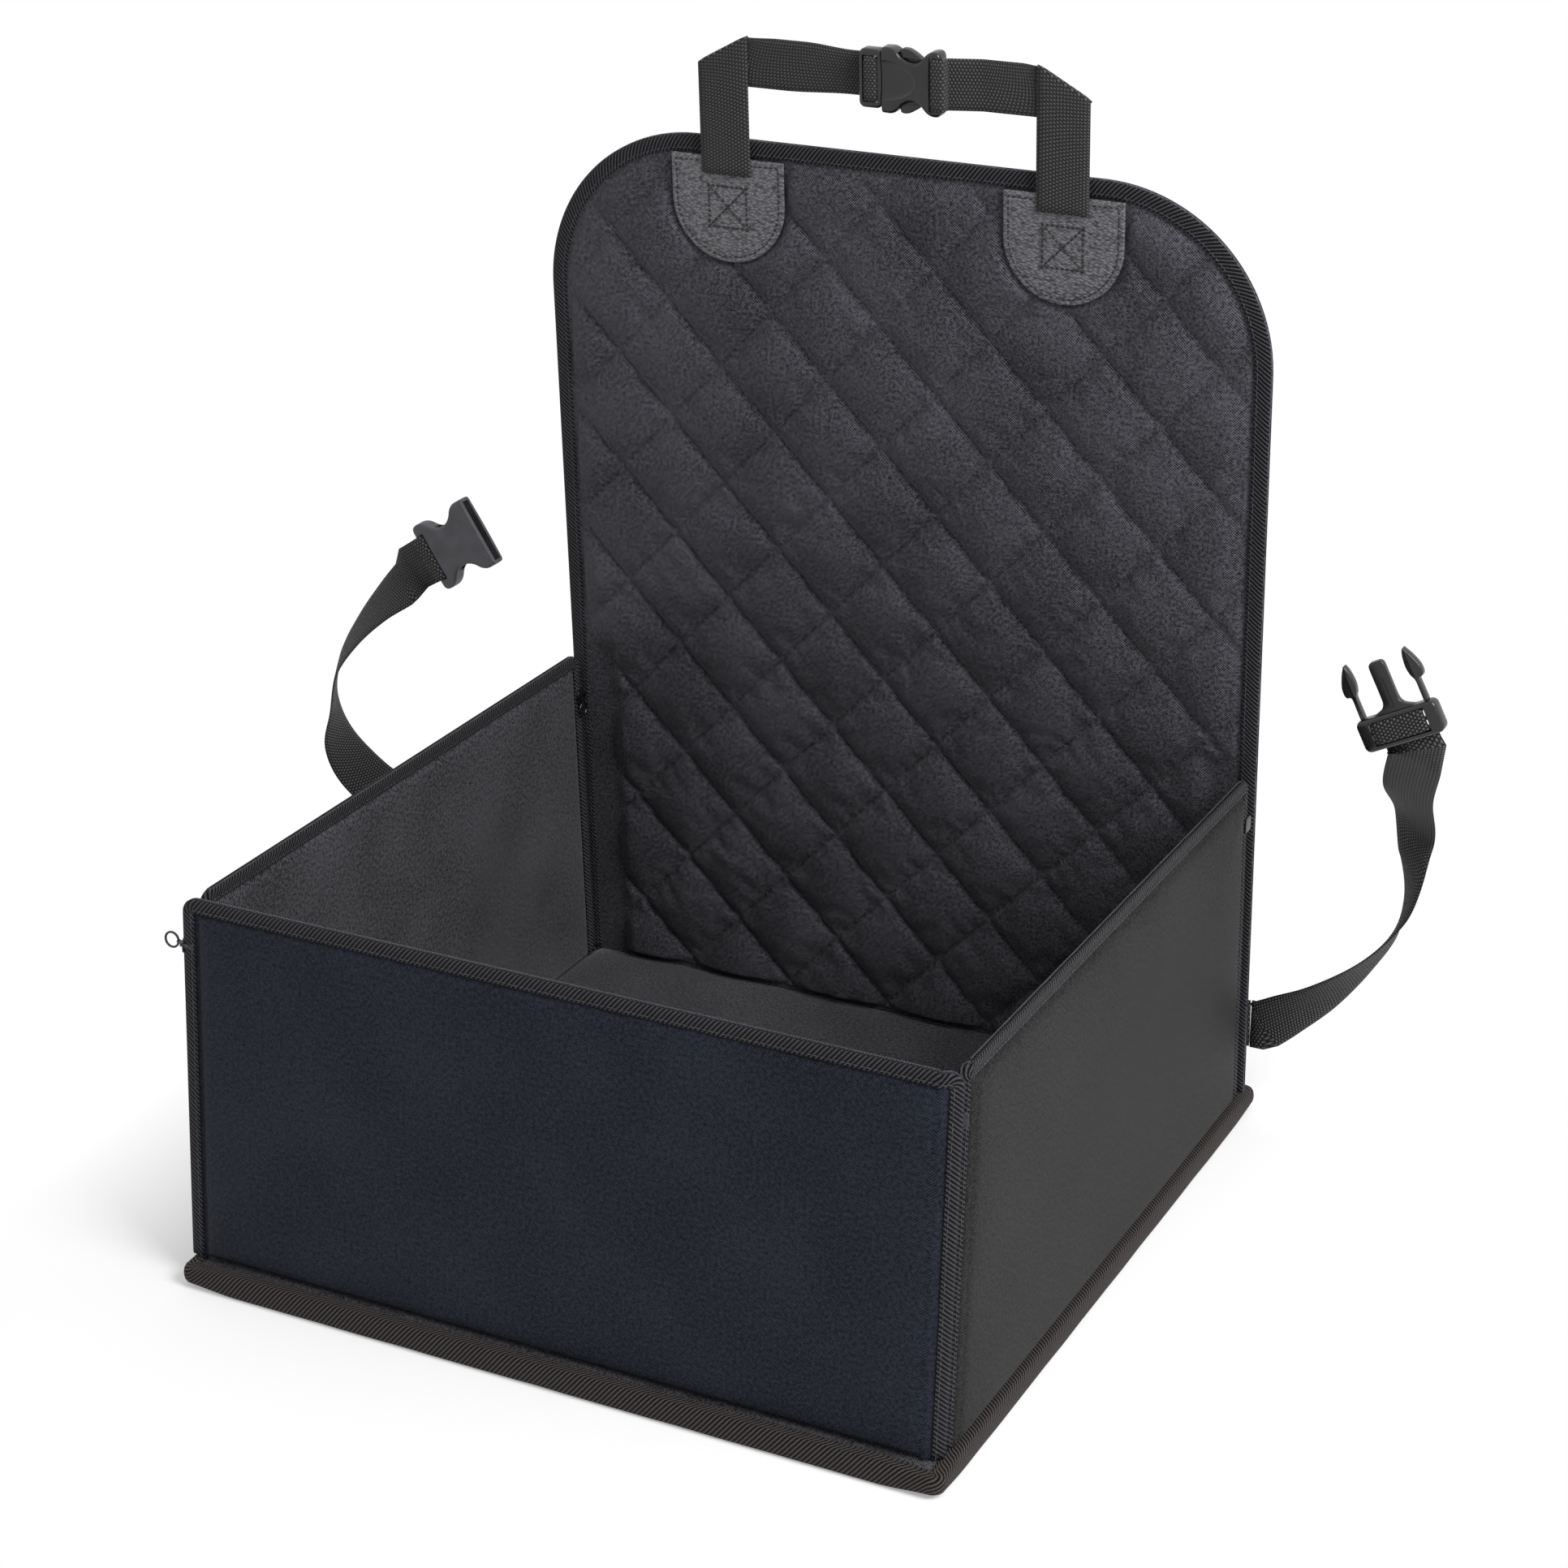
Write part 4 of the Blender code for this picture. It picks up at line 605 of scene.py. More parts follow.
class Panel:
    """The flat outline of a wall: straight foot, sloped sides and two rounded top corners."""

    def __init__(self, name, place, low, high, height, corner, flange=TOP_FLANGE, leg=BINDING_LEG,
                 side_flanges=None, turns=(0, 0)):
        """Low and high are the ends of the foot and of the top; turns fold the side flanges in."""
        self.name, self.place, self.height, self.corner = name, place, height, corner
        self.low, self.high, self.flange, self.leg, self.turns = low, high, flange, leg, turns
        self.side_flanges = side_flanges or (flange, flange)

    def sides(self, y):
        """The left and the right edge at a height: in proportion between foot and top."""
        share = y / self.height
        left = self.low[0] + (self.high[0] - self.low[0]) * share
        right = self.low[1] + (self.high[1] - self.low[1]) * share
        return left, right

    def draw_in(self, x, y):
        """Moves the square top corners of a grid to arcs: a place at (a, b) from an arc's
        centre keeps its direction and goes to the larger of a and b."""
        left, right = self.sides(y)
        centre_y = self.height - self.corner
        for edge, sign in ((left, -1), (right, 1)):
            a = sign * (x - edge) + self.corner
            b = y - centre_y
            corner = (a > 0) & (b > 0)
            size = np.hypot(a, b)
            draw = np.where(corner, np.maximum(a, b) / np.maximum(size, 1e-9), 1)
            x = np.where(corner, edge + sign * (a * draw - self.corner), x)
            y = np.where(corner, centre_y + b * draw, y)
        return x, y

    def fold_in(self, points):
        """Turns the side flanges into the box. Past its root, on the outer side of the padding, a
        place keeps its distance along the flange and its height over it, and both directions
        turn by the flange's angle; the turn is eased in over a few millimetres."""
        points = np.array(points, float)
        x, y, z = points[..., 0], points[..., 1], points[..., 2]
        for edge, sign, angle, flange in zip(self.sides(y), (-1, 1), self.turns, self.side_flanges):
            if not angle:
                continue
            past, height = sign * (x - edge) + flange, z - MIDDLE
            ease = eased(np.clip((past + FOLD_START) / FOLD_EASE, 0, 1))
            along = past * math.cos(angle) + height * math.sin(angle)
            deep = FOLD_ROOT + height * math.cos(angle) - past * math.sin(angle)
            x = x + sign * (along - past) * ease
            z = z + (deep - z) * ease
        return np.stack([x, y, z], -1)

    def stand(self, points):
        """Puts a flat panel's points in the world, flanges turned."""
        return put(self.fold_in(points), self.place)

    def stations(self, spacing):
        """A grid that is finer near the edges, where the cloth turns under the tape."""
        near = np.array([0, 2, 4.5, 7, 9, 10, 10.6, 11.2, 12, 13, 14.4, 16, 18, 20.5, 23.5, 27]) / 1000
        left, right = self.low
        count = max(2, int((right - left - 2 * near[-1]) / spacing))
        middle = np.linspace(0, 1, count + 1)[1:-1]
        foot = near * 0.25
        rise = np.concatenate([foot, np.arange(foot[-1] + spacing, self.height - near[-1], spacing),
                               (self.height - near)[::-1]])
        y = rise[:, None]
        start, end = self.sides(y)
        x = np.concatenate([start + near, (start + near[-1]) * (1 - middle) + (end - near[-1]) * middle,
                            end - near[::-1]], axis=1)
        y = np.broadcast_to(y, x.shape)
        return self.draw_in(x, y)

    def edge(self, x, y):
        """The distance to the outline, less at the sides where their flange is wider, and four
        times as large at the foot, whose flange is a quarter as wide."""
        left, right = self.sides(y)
        side = np.minimum(x - left, right - x)
        wide, far = self.side_flanges
        scaled = np.minimum((x - left) / wide, (right - x) / far) * self.flange
        near = np.minimum(np.minimum(scaled, self.height - y), y * 4)
        a, b = self.corner - side, y - (self.height - self.corner)
        return np.where((a > 0) & (b > 0), self.corner - np.hypot(a, b), near)

    def track(self, inset, spacing=0.004):
        """The outline at one inset, from the foot up the right side, over and down the left."""
        radius = max(self.corner - inset, 0.0008)
        turn = np.linspace(0, RIGHT_ANGLE, max(8, int(self.corner / 0.004)))
        (left0, right0), (left1, right1) = self.low, self.high
        slope = (right1 - right0) / self.height
        top = self.height - inset
        rise = np.linspace(0, top - radius, int(self.height / spacing))
        right = np.stack([right0 + slope * rise - inset, rise], -1)
        centre = right[-1] - [radius, 0]
        arc = centre + radius * np.stack([np.cos(turn), np.sin(turn)], -1)
        slope = (left1 - left0) / self.height
        left = np.stack([left0 + slope * rise + inset, rise], -1)
        left_centre = left[-1] + [radius, 0]
        left_arc = left_centre + radius * np.stack([-np.cos(turn), np.sin(turn)], -1)
        share = np.linspace(0, 1, int((right1 - left1) / spacing))[1:-1, None]
        over = arc[-1] * (1 - share) + left_arc[-1] * share
        return np.concatenate([right, arc[1:], over, left_arc[::-1][:-1], left[::-1]])


def closed_pad(x, y, front, back, flat=False):
    """Front and back grids over the same places, with a strip round the rim between them. A flat
    back is one face."""
    uv = np.stack([x, y], -1)
    top = np.stack([x, y, front], -1)
    under = np.stack([x, y, back], -1)
    rim_top = np.concatenate([top[0], top[1:, -1], top[-1, -2::-1], top[-2::-1, 0]])
    rim_under = np.concatenate([under[0], under[1:, -1], under[-1, -2::-1], under[-2::-1, 0]])
    rim = np.stack([rim_top, rim_under])
    if flat:
        cover = (rim_under[:-1], [list(range(len(rim_under) - 1))], rim_under[:-1, :2])
    else:
        cover = grid_part(under, uv)
    return [grid_part(top, uv), cover, grid_part(rim, rim[..., :2])]


def panel_relief(panel, x, y, seed, lift, pucker):
    """How far the padded cloth stands off its flange: it turns up sharply at the seam, rises
    slowly to its crown, waves a little, and puckers along each seam with waves that fade."""
    inner = np.clip(panel.edge(x, y) - panel.flange, 0, None)
    rise = 1 - np.exp(-inner / SEAM_TURN)
    crown = 1 - np.exp(-inner / CROWN_REACH)
    left, right = panel.sides(y)
    lines = [(panel.height - y - panel.flange, x, TOP_PUCKERS),
             (x - left - panel.side_flanges[0], y, SIDE_PUCKERS),
             (right - x - panel.side_flanges[1], y, SIDE_PUCKERS)]
    seams = sum(np.exp(-np.clip(off, 0, None) / PUCKER_REACH) * ripple(along, seed + 1 + k, length)
                for k, (off, along, length) in enumerate(lines))
    wave = SLOW_WAVE * crown * swell(x, y, seed, SLOW_LENGTH)
    return rise * (PAD_STEP + lift * crown) + rise * (wave + pucker * seams)


def inside_flange(panel, x, y):
    """A share that is 0 on the flange, where the layers lie close, and 1 past it."""
    return np.clip((panel.edge(x, y) - panel.flange - HOLLOW_START) / HOLLOW_EASE, 0, 1)


def wall_cloth(panel, piece, side, seed, material):
    """The padded cloth on one face of a wall, on the flange that the tape binds."""
    x, y = panel.stations(PAD_SPACING)
    relief = panel_relief(panel, x, y, seed, WALL_LIFT, WALL_PUCKER)
    front = MIDDLE + side * (SEAM_GAP / 2 + CLOTH + relief)
    back = MIDDLE + side * (SEAM_GAP / 2 + inside_flange(panel, x, y) * WALL_HOLLOW)
    parts = [(panel.stand(points), faces, uv) for points, faces, uv in closed_pad(x, y, front, back)]
    made = make_piece(f"{panel.name}_{piece}_cloth", parts, material, panel.name)
    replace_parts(made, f"{panel.name}_{piece}")


# How far the tape wanders as it is fed, in waves that are shares of its whole way, the line along
# which its length is measured, and half of its profile: distance in from the edge and height off
# the middle, in shares of the leg and of the half thickness
TAPE_WAVE, TAPE_WAVE_SHARE = 0.0002, 0.03
TAPE_LINE = 0.004
TAPE_PROFILE_SHARES = [(1.0, 0.86), (0.985, 1.0), (0.9, 1.04), (0.7, 1.02), (0.45, 1.06), (0.25, 1.02),
                       (0.12, 0.86), (0.04, 0.58), (0.0, 0.2)]


def folded_profile(outer, inner):
    """A folded tape's section, from half of each face: down the outer face and back the inner."""
    below = [(a, -b) for a, b in reversed(outer)] + [(a, -b) for a, b in inner]
    return outer + below + [(a, b) for a, b in reversed(inner) if b]


def tape_uv(line, profile):
    """A tape's UVs: the way along its line, and the way round its section."""
    round_it = run_along(profile)
    return sheet_uv(run_along(line), np.append(round_it, round_it[-1] + 0.001))


def bound_edge(panel, seed):
    """Tape folded over the edge: a closed U profile carried along the outline, waving a little
    where it was fed under the needle, with a row of stitches along each leg."""
    half, node = FLANGE_HALF, f"{panel.name}_binding"
    outer = [(a * panel.leg, b * half) for a, b in TAPE_PROFILE_SHARES]
    profile = folded_profile(outer, [(panel.leg, half - 0.0009), (0.0022, half - 0.001), (0.0011, 0)])
    tracks = []
    for inset, height in profile:
        track = panel.track(inset)
        wave = TAPE_WAVE * ripple(np.linspace(0, 1, len(track)), seed, TAPE_WAVE_SHARE)
        tracks.append(np.column_stack([track, MIDDLE + height + wave]))
    grid = np.stack(tracks, axis=1)
    part = grid_part(panel.stand(grid), tape_uv(panel.track(TAPE_LINE), profile), wrap=True, caps=True)
    made = make_piece(f"{node}_tape", [part], TAPE, panel.name)
    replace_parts(made, node)
    track = panel.track(panel.leg - ROW_INSET)
    for side, label in ((1, "outer"), (-1, "inner")):
        path = np.column_stack([track, np.full(len(track), MIDDLE + side * half * 1.03)])
        normal = panel.stand(path + [0, 0, side * 0.0001]) - panel.stand(path)
        row = thread_stitches(panel.stand(path), unit(normal), *EDGE_ROW)
        make_piece(f"{node}_{label}_stitches", [row], THREAD, panel.name)


def side_wall_ends():
    """How far forward and back a side wall reaches at its foot and at its top."""
    inset = WALL_THICKNESS / 2 + FLANGE_HALF + ZIP_GAP
    reach = []
    for height in (0, WALL_HEIGHT):
        front_rise = height - WALL_THICKNESS * math.sin(FRONT_LEAN)
        back_rise = height - WALL_THICKNESS * math.sin(BACK_LEAN)
        front = -FOOT_DEPTH / 2 + front_rise * math.tan(FRONT_LEAN) + inset / math.cos(FRONT_LEAN)
        back = FOOT_DEPTH / 2 - back_rise * math.tan(BACK_LEAN) - inset / math.cos(BACK_LEAN)
        reach.append((front, back))
    return reach


(FRONT_LOW, BACK_LOW), (FRONT_HIGH, BACK_HIGH) = side_wall_ends()
HALF_FOOT = FOOT_WIDTH / 2
FRONT_ENDS = (-HALF_FOOT - LEFT_LIP, HALF_FOOT)
WALL_SIZES = (WALL_HEIGHT, WALL_CORNER, WALL_FLANGE, WALL_LEG)
FRONT_PANEL = Panel("front_wall", FRONT, FRONT_ENDS, FRONT_ENDS, *WALL_SIZES,
                    (WALL_FLANGE + 0.0016, FRONT_SIDE_FLANGE), (0, FRONT_FOLD))
RIGHT_PANEL = Panel("right_wall", RIGHT, (FRONT_LOW, BACK_LOW), (FRONT_HIGH, BACK_HIGH), *WALL_SIZES,
                    (TOP_FLANGE, WALL_FLANGE), (SIDE_FOLD, 0))
LEFT_PANEL = Panel("left_wall", LEFT, (-BACK_LOW, -FRONT_LOW), (-BACK_HIGH, -FRONT_HIGH), *WALL_SIZES)
BACK_PANEL = Panel("backrest", BACK, (-BACK_WIDTH / 2, BACK_WIDTH / 2), (-BACK_WIDTH / 2, BACK_WIDTH / 2),
                   BACK_HEIGHT, BACK_CORNER)


def dress_walls():
    """The cover, the lining and the tape of the three folding walls."""
    walls = ((11, FRONT_PANEL, OXFORD), (31, LEFT_PANEL, SIDE_OXFORD), (51, RIGHT_PANEL, SIDE_OXFORD))
    for seed, panel, cover in walls:
        wall_cloth(panel, "cover", 1, seed, cover)
        wall_cloth(panel, "lining", -1, seed + 7, LINING)
        bound_edge(panel, seed + 13)


# Base

# The signs of x and y at the corners of a rectangle, in turn
QUARTERS = ((1, 1), (-1, 1), (-1, -1), (1, -1))


def quarter_arcs(half_x, half_y, radius, steps):
    """The arcs at a rounded rectangle's four corners, in turn."""
    turn = np.linspace(0, RIGHT_ANGLE, steps)
    arcs = []
    for k, (sx, sy) in enumerate(QUARTERS):
        angle = turn + k * RIGHT_ANGLE
        centre = np.array([sx * (half_x - radius), sy * (half_y - radius)])
        arcs.append(centre + radius * np.stack([np.cos(angle), np.sin(angle)], -1))
    return arcs


def base_ring(inset):
    """The base's outline at one inset: four arcs, and straight sides between them."""
    arcs = quarter_arcs(BASE_WIDTH / 2 - inset, BASE_DEPTH / 2 - inset, max(BASE_CORNER - inset, 0.0006), 9)
    share = np.linspace(0, 1, 100)[1:-1, None]
    ring = []
    for arc, after in zip(arcs, arcs[1:] + arcs[:1]):
        ring += [arc, arc[-1] * (1 - share) + after[0] * share]
    return np.concatenate(ring)


def pinch(x, y, z):
    """Presses the base's rim towards its own middle at the four corners, where the tape is drawn
    tight round them: by a share that falls off as a bell with the distance to the corner."""
    away = np.hypot(BASE_WIDTH / 2 - np.abs(x), BASE_DEPTH / 2 - np.abs(y))
    middle = BASE_THICKNESS / 2
    return np.maximum(middle + (z - middle) * (1 - PINCH_SHARE * np.exp(-(away / PINCH_REACH) ** 2)), 0)


# A base cloth: how far in from the base's edge it ends, its step inside the tape and how soon it
# takes it, the distance in which it reaches its crown, and its slow wave's height and length
BASE_CLOTH_INSET, BASE_STEP, BASE_TURN, BASE_CROWN_REACH = 0.0014, 0.0011, 0.002, 0.035
BASE_WAVE, BASE_WAVE_LENGTH = 0.0005, 0.13
# The lining's lower face and crown, and the underside's upper face
LINING_LOW, LINING_CROWN, UNDERSIDE_TOP = 0.0117, 0.0028, 0.0023


def base_cushion(name, low, crown, seed, node, under):
    """A thin pad: a square grid drawn in at its corners, crowned, with slow waves. The one
    underneath is flat below and hollow above, for the board."""
    near = np.array([0, 3, 6, 8, 9, 10, 11, 12.5, 15, 19, 24]) / 1000
    half_x, half_y = BASE_WIDTH / 2 - BASE_CLOTH_INSET, BASE_DEPTH / 2 - BASE_CLOTH_INSET
    lines = []
    for half in (half_x, half_y):
        middle = np.linspace(-half + near[-1], half - near[-1], 84)[1:-1]
        lines.append(np.concatenate([-half + near, middle, (half - near)[::-1]]))
    x, y = np.meshgrid(*lines)
    a, b = np.abs(x) - (half_x - BASE_CORNER), np.abs(y) - (half_y - BASE_CORNER)
    corner = (a > 0) & (b > 0)
    draw = np.where(corner, np.maximum(a, b) / np.maximum(np.hypot(a, b), 1e-9), 1)
    edge = np.minimum(half_x - np.abs(x), half_y - np.abs(y))
    x = np.where(corner, np.sign(x) * (half_x - BASE_CORNER + a * draw), x)
    y = np.where(corner, np.sign(y) * (half_y - BASE_CORNER + b * draw), y)
    inner = np.clip(edge - BASE_BINDING_LEG, 0, None)
    rise = 1 - np.exp(-inner / BASE_TURN)
    crowned = crown * (1 - np.exp(-inner / BASE_CROWN_REACH))
    relief = rise * (BASE_STEP + crowned + BASE_WAVE * swell(x, y, seed, BASE_WAVE_LENGTH))
    if under:
        front, back = BASE_STEP * (1 - rise), np.full_like(x, UNDERSIDE_TOP)
    else:
        front, back = low + CLOTH + relief, np.full_like(x, low)
    front, back = pinch(x, y, front), pinch(x, y, back)
    cloth = UNDERSIDE if under else LINING
    made = make_piece(name, closed_pad(x, y, front, back), cloth, "base")
    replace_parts(made, node)


def dress_base():
    """The base's two cloths, the tape round its rim, and the stitches in the tape's upper leg."""
    base_cushion("base_lining_cloth", LINING_LOW, LINING_CROWN, 81, "base_lining", False)
    base_cushion("base_underside_cloth", 0, 0, 82, "base_underside", True)
    half = BASE_THICKNESS / 2
    outer = [(a * BASE_BINDING_LEG, min(b, 1) * half) for a, b in TAPE_PROFILE_SHARES]
    inner = [(BASE_BINDING_LEG, half - 0.0008), (0.0022, half - 0.0009), (0.0009, half - 0.003)]
    profile = folded_profile(outer, inner)
    tracks = []
    for inset, height in profile:
        ring = base_ring(inset)
        wave = 1 + 0.05 * ripple(np.linspace(0, 1, len(ring), endpoint=False), 85, 0.035)
        tracks.append(np.column_stack([ring, pinch(ring[:, 0], ring[:, 1], half + height * wave)]))
    grid = np.stack(tracks, axis=1)
    line = base_ring(TAPE_LINE)
    uv = tape_uv(np.vstack([line, line[:1]]), profile)
    part = grid_part(np.concatenate([grid, grid[:1]]), uv, wrap=True)
    made = make_piece("base_binding_tape", [part], BASE_TAPE, "base")
    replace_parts(made, "base_binding")
    ring = base_ring(BASE_BINDING_LEG - ROW_INSET)
    path = np.column_stack([ring, pinch(ring[:, 0], ring[:, 1], BASE_THICKNESS + 0.0001)])
    row = thread_stitches(path, (0, 0, 1), *BASE_ROW)
    make_piece("base_upper_stitches", [row], THREAD, "base")


# Backrest

# Beside a channel the cloth is firm: how high, and how soon
FIRM_HEIGHT, FIRM_REACH = 0.0030, 0.0027
# The stitches' puckers: height, reach off the channel, length, and the distance in which the channel
# itself lets go of them; then the shift that keeps two channels' puckers from matching
PUCKER_HEIGHT, PUCKER_OFF, PUCKER_LENGTH, PUCKER_HELD, PUCKER_SHIFT = 0.0006, 0.005, 0.0085, 0.0015, 0.0137
UNEVEN_HEIGHT, UNEVEN_LENGTH = 0.00012, 0.02
# Where the quilting is pressed flat: in from the flange, beside and above the zips, round the patches
FLANGE_FADE, ZIP_SIDE, ZIP_ABOVE, ZIP_FADE, PATCH_FADE = 0.012, 0.0275, 0.004, 0.008, 0.006
# Waves along the flange's seam: height, reach and length
SEAM_WAVE, SEAM_REACH, SEAM_LENGTH = 0.0004, 0.009, 0.017


def lattice(x, y):
    """The place in the quilting: each of the two values grows by one from channel to channel."""
    right = (x - QUILT_SHIFT) / QUILT_ACROSS
    up = (y - BACK_HEIGHT + QUILT_TOP_DROP) / QUILT_RISE
    return right + up, right - up


def quilt_swelling():
    """Sixteen squares of cloth, held down along their channels and blown up between them. They
    lie side by side, each a little uneven at the start so that no two swell alike."""
    cell, squares, steps = math.hypot(QUILT_ACROSS, QUILT_RISE) / 2, 4, 26
    count = squares * steps + 1
    line = np.arange(count) * cell / steps
    p, q = np.meshgrid(line, line)
    on_line = np.arange(count) % steps == 0
    held = on_line[:, None] | on_line[None, :]
    start = np.where(held, 0, 0.0004 * swell(p, q, 5, 0.02) + 0.0004 * swell(p, q, 6, 0.011))
    moved = blow_up(np.stack([p, q, start], -1), held, QUILT_PRESSURE, QUILT_SLACK, QUILT_LIMIT)
    return moved[..., 2] + start, steps, squares


def quilt_height(a, b):
    """Height over the channels at lattice places: each square takes one of the simulated ones,
    turned over by a seeded choice, and looks its own place up in it."""
    table, steps, squares = quilt_swelling()
    i, j = np.floor(a).astype(int), np.floor(b).astype(int)
    rng = np.random.default_rng(3)
    pick = rng.integers(0, squares, (2, 64, 64))[:, i % 64, j % 64]
    turn = rng.integers(0, 2, (3, 64, 64))[:, i % 64, j % 64]
    fa, fb = a - i, b - j
    fa, fb = np.where(turn[0], 1 - fa, fa), np.where(turn[1], 1 - fb, fb)
    fa, fb = np.where(turn[2], fb, fa), np.where(turn[2], fa, fb)
    return look_up(table, (pick[0] + fa) * steps, (pick[1] + fb) * steps)


def patch_distance(x, y):
    """How far a place lies outside the nearer patch's sides and round end; less than 0 is inside."""
    across = np.abs(np.abs(x) - LOOP_WIDTH / 2)
    return np.where(y > PATCH_MIDDLE, across, np.hypot(across, y - PATCH_MIDDLE)) - PATCH_WIDTH / 2


def quilted_face(panel):
    """The quilted cloth: each square's swelling and a firm rise beside every channel, puckered by
    the stitches, and flat at the flange, under the zips' ends and round the patches."""
    x, y = panel.stations(QUILT_SPACING)
    a, b = lattice(x, y)
    across, run = np.abs(a - np.round(a)), np.abs(b - np.round(b))
    cell = QUILT_ACROSS * QUILT_RISE / math.hypot(QUILT_ACROSS, QUILT_RISE)
    channel = np.minimum(across, run) * cell
    along = np.where(across < run, b, a) * cell
    line = np.where(across < run, np.round(a) * 2, np.round(b) * 2 + 1)
    bunched = ripple(along + PUCKER_SHIFT * line, 92, PUCKER_LENGTH) * np.clip(channel / PUCKER_HELD, 0, 1)
    pucker = PUCKER_HEIGHT * np.exp(-channel / PUCKER_OFF) * bunched
    firm = FIRM_HEIGHT * (1 - np.exp(-channel / FIRM_REACH))
    uneven = UNEVEN_HEIGHT * swell(x, y, 91, UNEVEN_LENGTH)
    edge = panel.edge(x, y) - QUILT_FLANGE
    fade = np.clip(edge / FLANGE_FADE, 0, 1) ** 0.6
    beside, above = BACK_WIDTH / 2 - ZIP_SIDE - np.abs(x), y - WALL_HEIGHT - ZIP_ABOVE
    zip_clear = np.clip(np.maximum(beside, above) / ZIP_FADE, 0, 1)
    patch_clear = np.clip((patch_distance(x, y) + 0.0005) / PATCH_FADE, 0, 1)
    height = fade * zip_clear * patch_clear * (firm + quilt_height(a, b) + pucker + uneven)
    seams = np.exp(-np.clip(edge, 0, None) / SEAM_REACH) * ripple(x + 0.7 * y, 93, SEAM_LENGTH)
    height += np.clip(edge / 0.003, 0, 1) * patch_clear * SEAM_WAVE * seams
    front = MIDDLE - SEAM_GAP / 2 - CLOTH - np.clip(height, 0, None)
    back = np.full_like(x, MIDDLE - SEAM_GAP / 2)
    parts = [placed(part, panel.place) for part in closed_pad(x, y, front, back, flat=True)]
    made = make_piece("backrest_quilted_cloth", parts, QUILTED, "backrest")
    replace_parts(made, "backrest_quilted_face")


def rear_cover(panel):
    """The plain cloth on the backrest's rear, kept in front of the sewn anchors' plane."""
    x, y = panel.stations(REAR_SPACING)
    front = MIDDLE + SEAM_GAP / 2 + CLOTH + panel_relief(panel, x, y, 61, REAR_LIFT, REAR_PUCKER)
    back = MIDDLE + SEAM_GAP / 2 + inside_flange(panel, x, y) * REAR_HOLLOW
    parts = [placed(part, panel.place) for part in closed_pad(x, y, np.minimum(front, -0.0001), back)]
    made = make_piece("backrest_rear_cloth", parts, OXFORD, "backrest")
    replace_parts(made, "backrest_rear_cover")


def dress_backrest():
    """Both cloths of the backrest, the thread in the quilting, and the tape round the edge."""
    quilted_face(BACK_PANEL)
    quilting_thread(BACK_PANEL)
    rear_cover(BACK_PANEL)
    bound_edge(BACK_PANEL, 71)


def quilting_thread(panel):
    """The stitches in the channels: slanted rows, kept inside the flange and off the patches."""
    rows = []
    run = np.arange(-4, 4, 0.02)
    depth = MIDDLE - SEAM_GAP / 2 - CLOTH
    for direction in (1, -1):
        for k in range(-12, 13):
            x = QUILT_SHIFT + QUILT_ACROSS * run
            y = BACK_HEIGHT - QUILT_TOP_DROP + QUILT_RISE * direction * (k - run)
            keep = (np.abs(x) < BACK_WIDTH / 2) & (y > 0.004) & (y < BACK_HEIGHT)
            x, y = x[keep], y[keep]
            if len(x) < 3:
                continue
            keep = (panel.edge(x, y) > QUILT_FLANGE + 0.003) & (patch_distance(x, y) >= 0.003)
            for piece in np.split(np.arange(len(x)), np.flatnonzero(np.diff(keep.astype(int))) + 1):
                if len(piece) < 8 or not keep[piece[0]]:
                    continue
                path = put(np.column_stack([x[piece], y[piece], np.full(len(piece), depth)]), panel.place)
                rows.append(thread_stitches(path, -panel.place[1][:, 2], *QUILT_ROW))
    make_piece("backrest_quilting_thread", rows, THREAD, "backrest", weld=0)


# Straps

def strap_piece(name, centres, across, width, body, node):
    """Flat webbing along a path: each row of the grid is the path's point plus shares of the
    width along the row's own direction."""
    ahead = unit(np.gradient(centres, axis=0))
    across = unit(across - ahead * np.sum(across * ahead, axis=1, keepdims=True))
    share = np.linspace(-0.5, 0.5, 9) * width
    grid = centres[:, None] + across[:, None] * share[None, :, None]
    part = thick_sheet(grid, sheet_uv(run_along(centres), share), WEBBING_THICKNESS)
    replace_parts(make_piece(name, [part], STRAP, body), node)


def box_stitches(centre, size, place, normal):
    """A sewn square with its two diagonals."""
    half = size / 2
    corners = np.array([(-half, -half), (half, -half), (half, half), (-half, half), (-half, -half)])
    runs = [corners[i:i + 2] for i in range(4)] + [corners[[0, 2]], corners[[3, 1]]]
    rows = []
    for run in runs:
        path = resample(np.column_stack([run + np.array(centre[:2]), [centre[2]] * 2]), 0.002)
        rows.append(thread_stitches(put(path, place), normal, *BOX_ROW))
    return rows


def layer_heights():
    """Heights of the layers on the backrest's top: the strap tail's two faces, the patch's two
    faces, and where the loop's straps begin, each a seam's gap above the last."""
    floor = MIDDLE - SEAM_GAP / 2 - CLOTH - SEAM_GAP
    tail = (floor, floor - WEBBING_THICKNESS)
    patch = (tail[1] - SEAM_GAP, tail[1] - SEAM_GAP - PATCH_THICKNESS)
    return tail, patch, patch[1] - SEAM_GAP


def patch_ring(centre, inset):
    """A patch's outline moved in: two top corners and a half circle, as one ring."""
    half = PATCH_WIDTH / 2 - inset
    top = BACK_HEIGHT - PATCH_TOP_DROP - inset
    angle = np.linspace(math.pi, 2 * math.pi, 41)
    arc = np.stack([centre + half * np.cos(angle), PATCH_MIDDLE + half * np.sin(angle)], -1)
    rise = np.linspace(PATCH_MIDDLE, top, 10)[1:, None]
    right = np.column_stack([np.full(9, centre + half), rise])
    over = np.linspace(centre + half, centre - half, 26)[1:-1]
    over = np.column_stack([over, np.full(24, top)])
    left = np.column_stack([np.full(9, centre - half), rise[::-1]])
    return np.concatenate([arc, right, over, left])


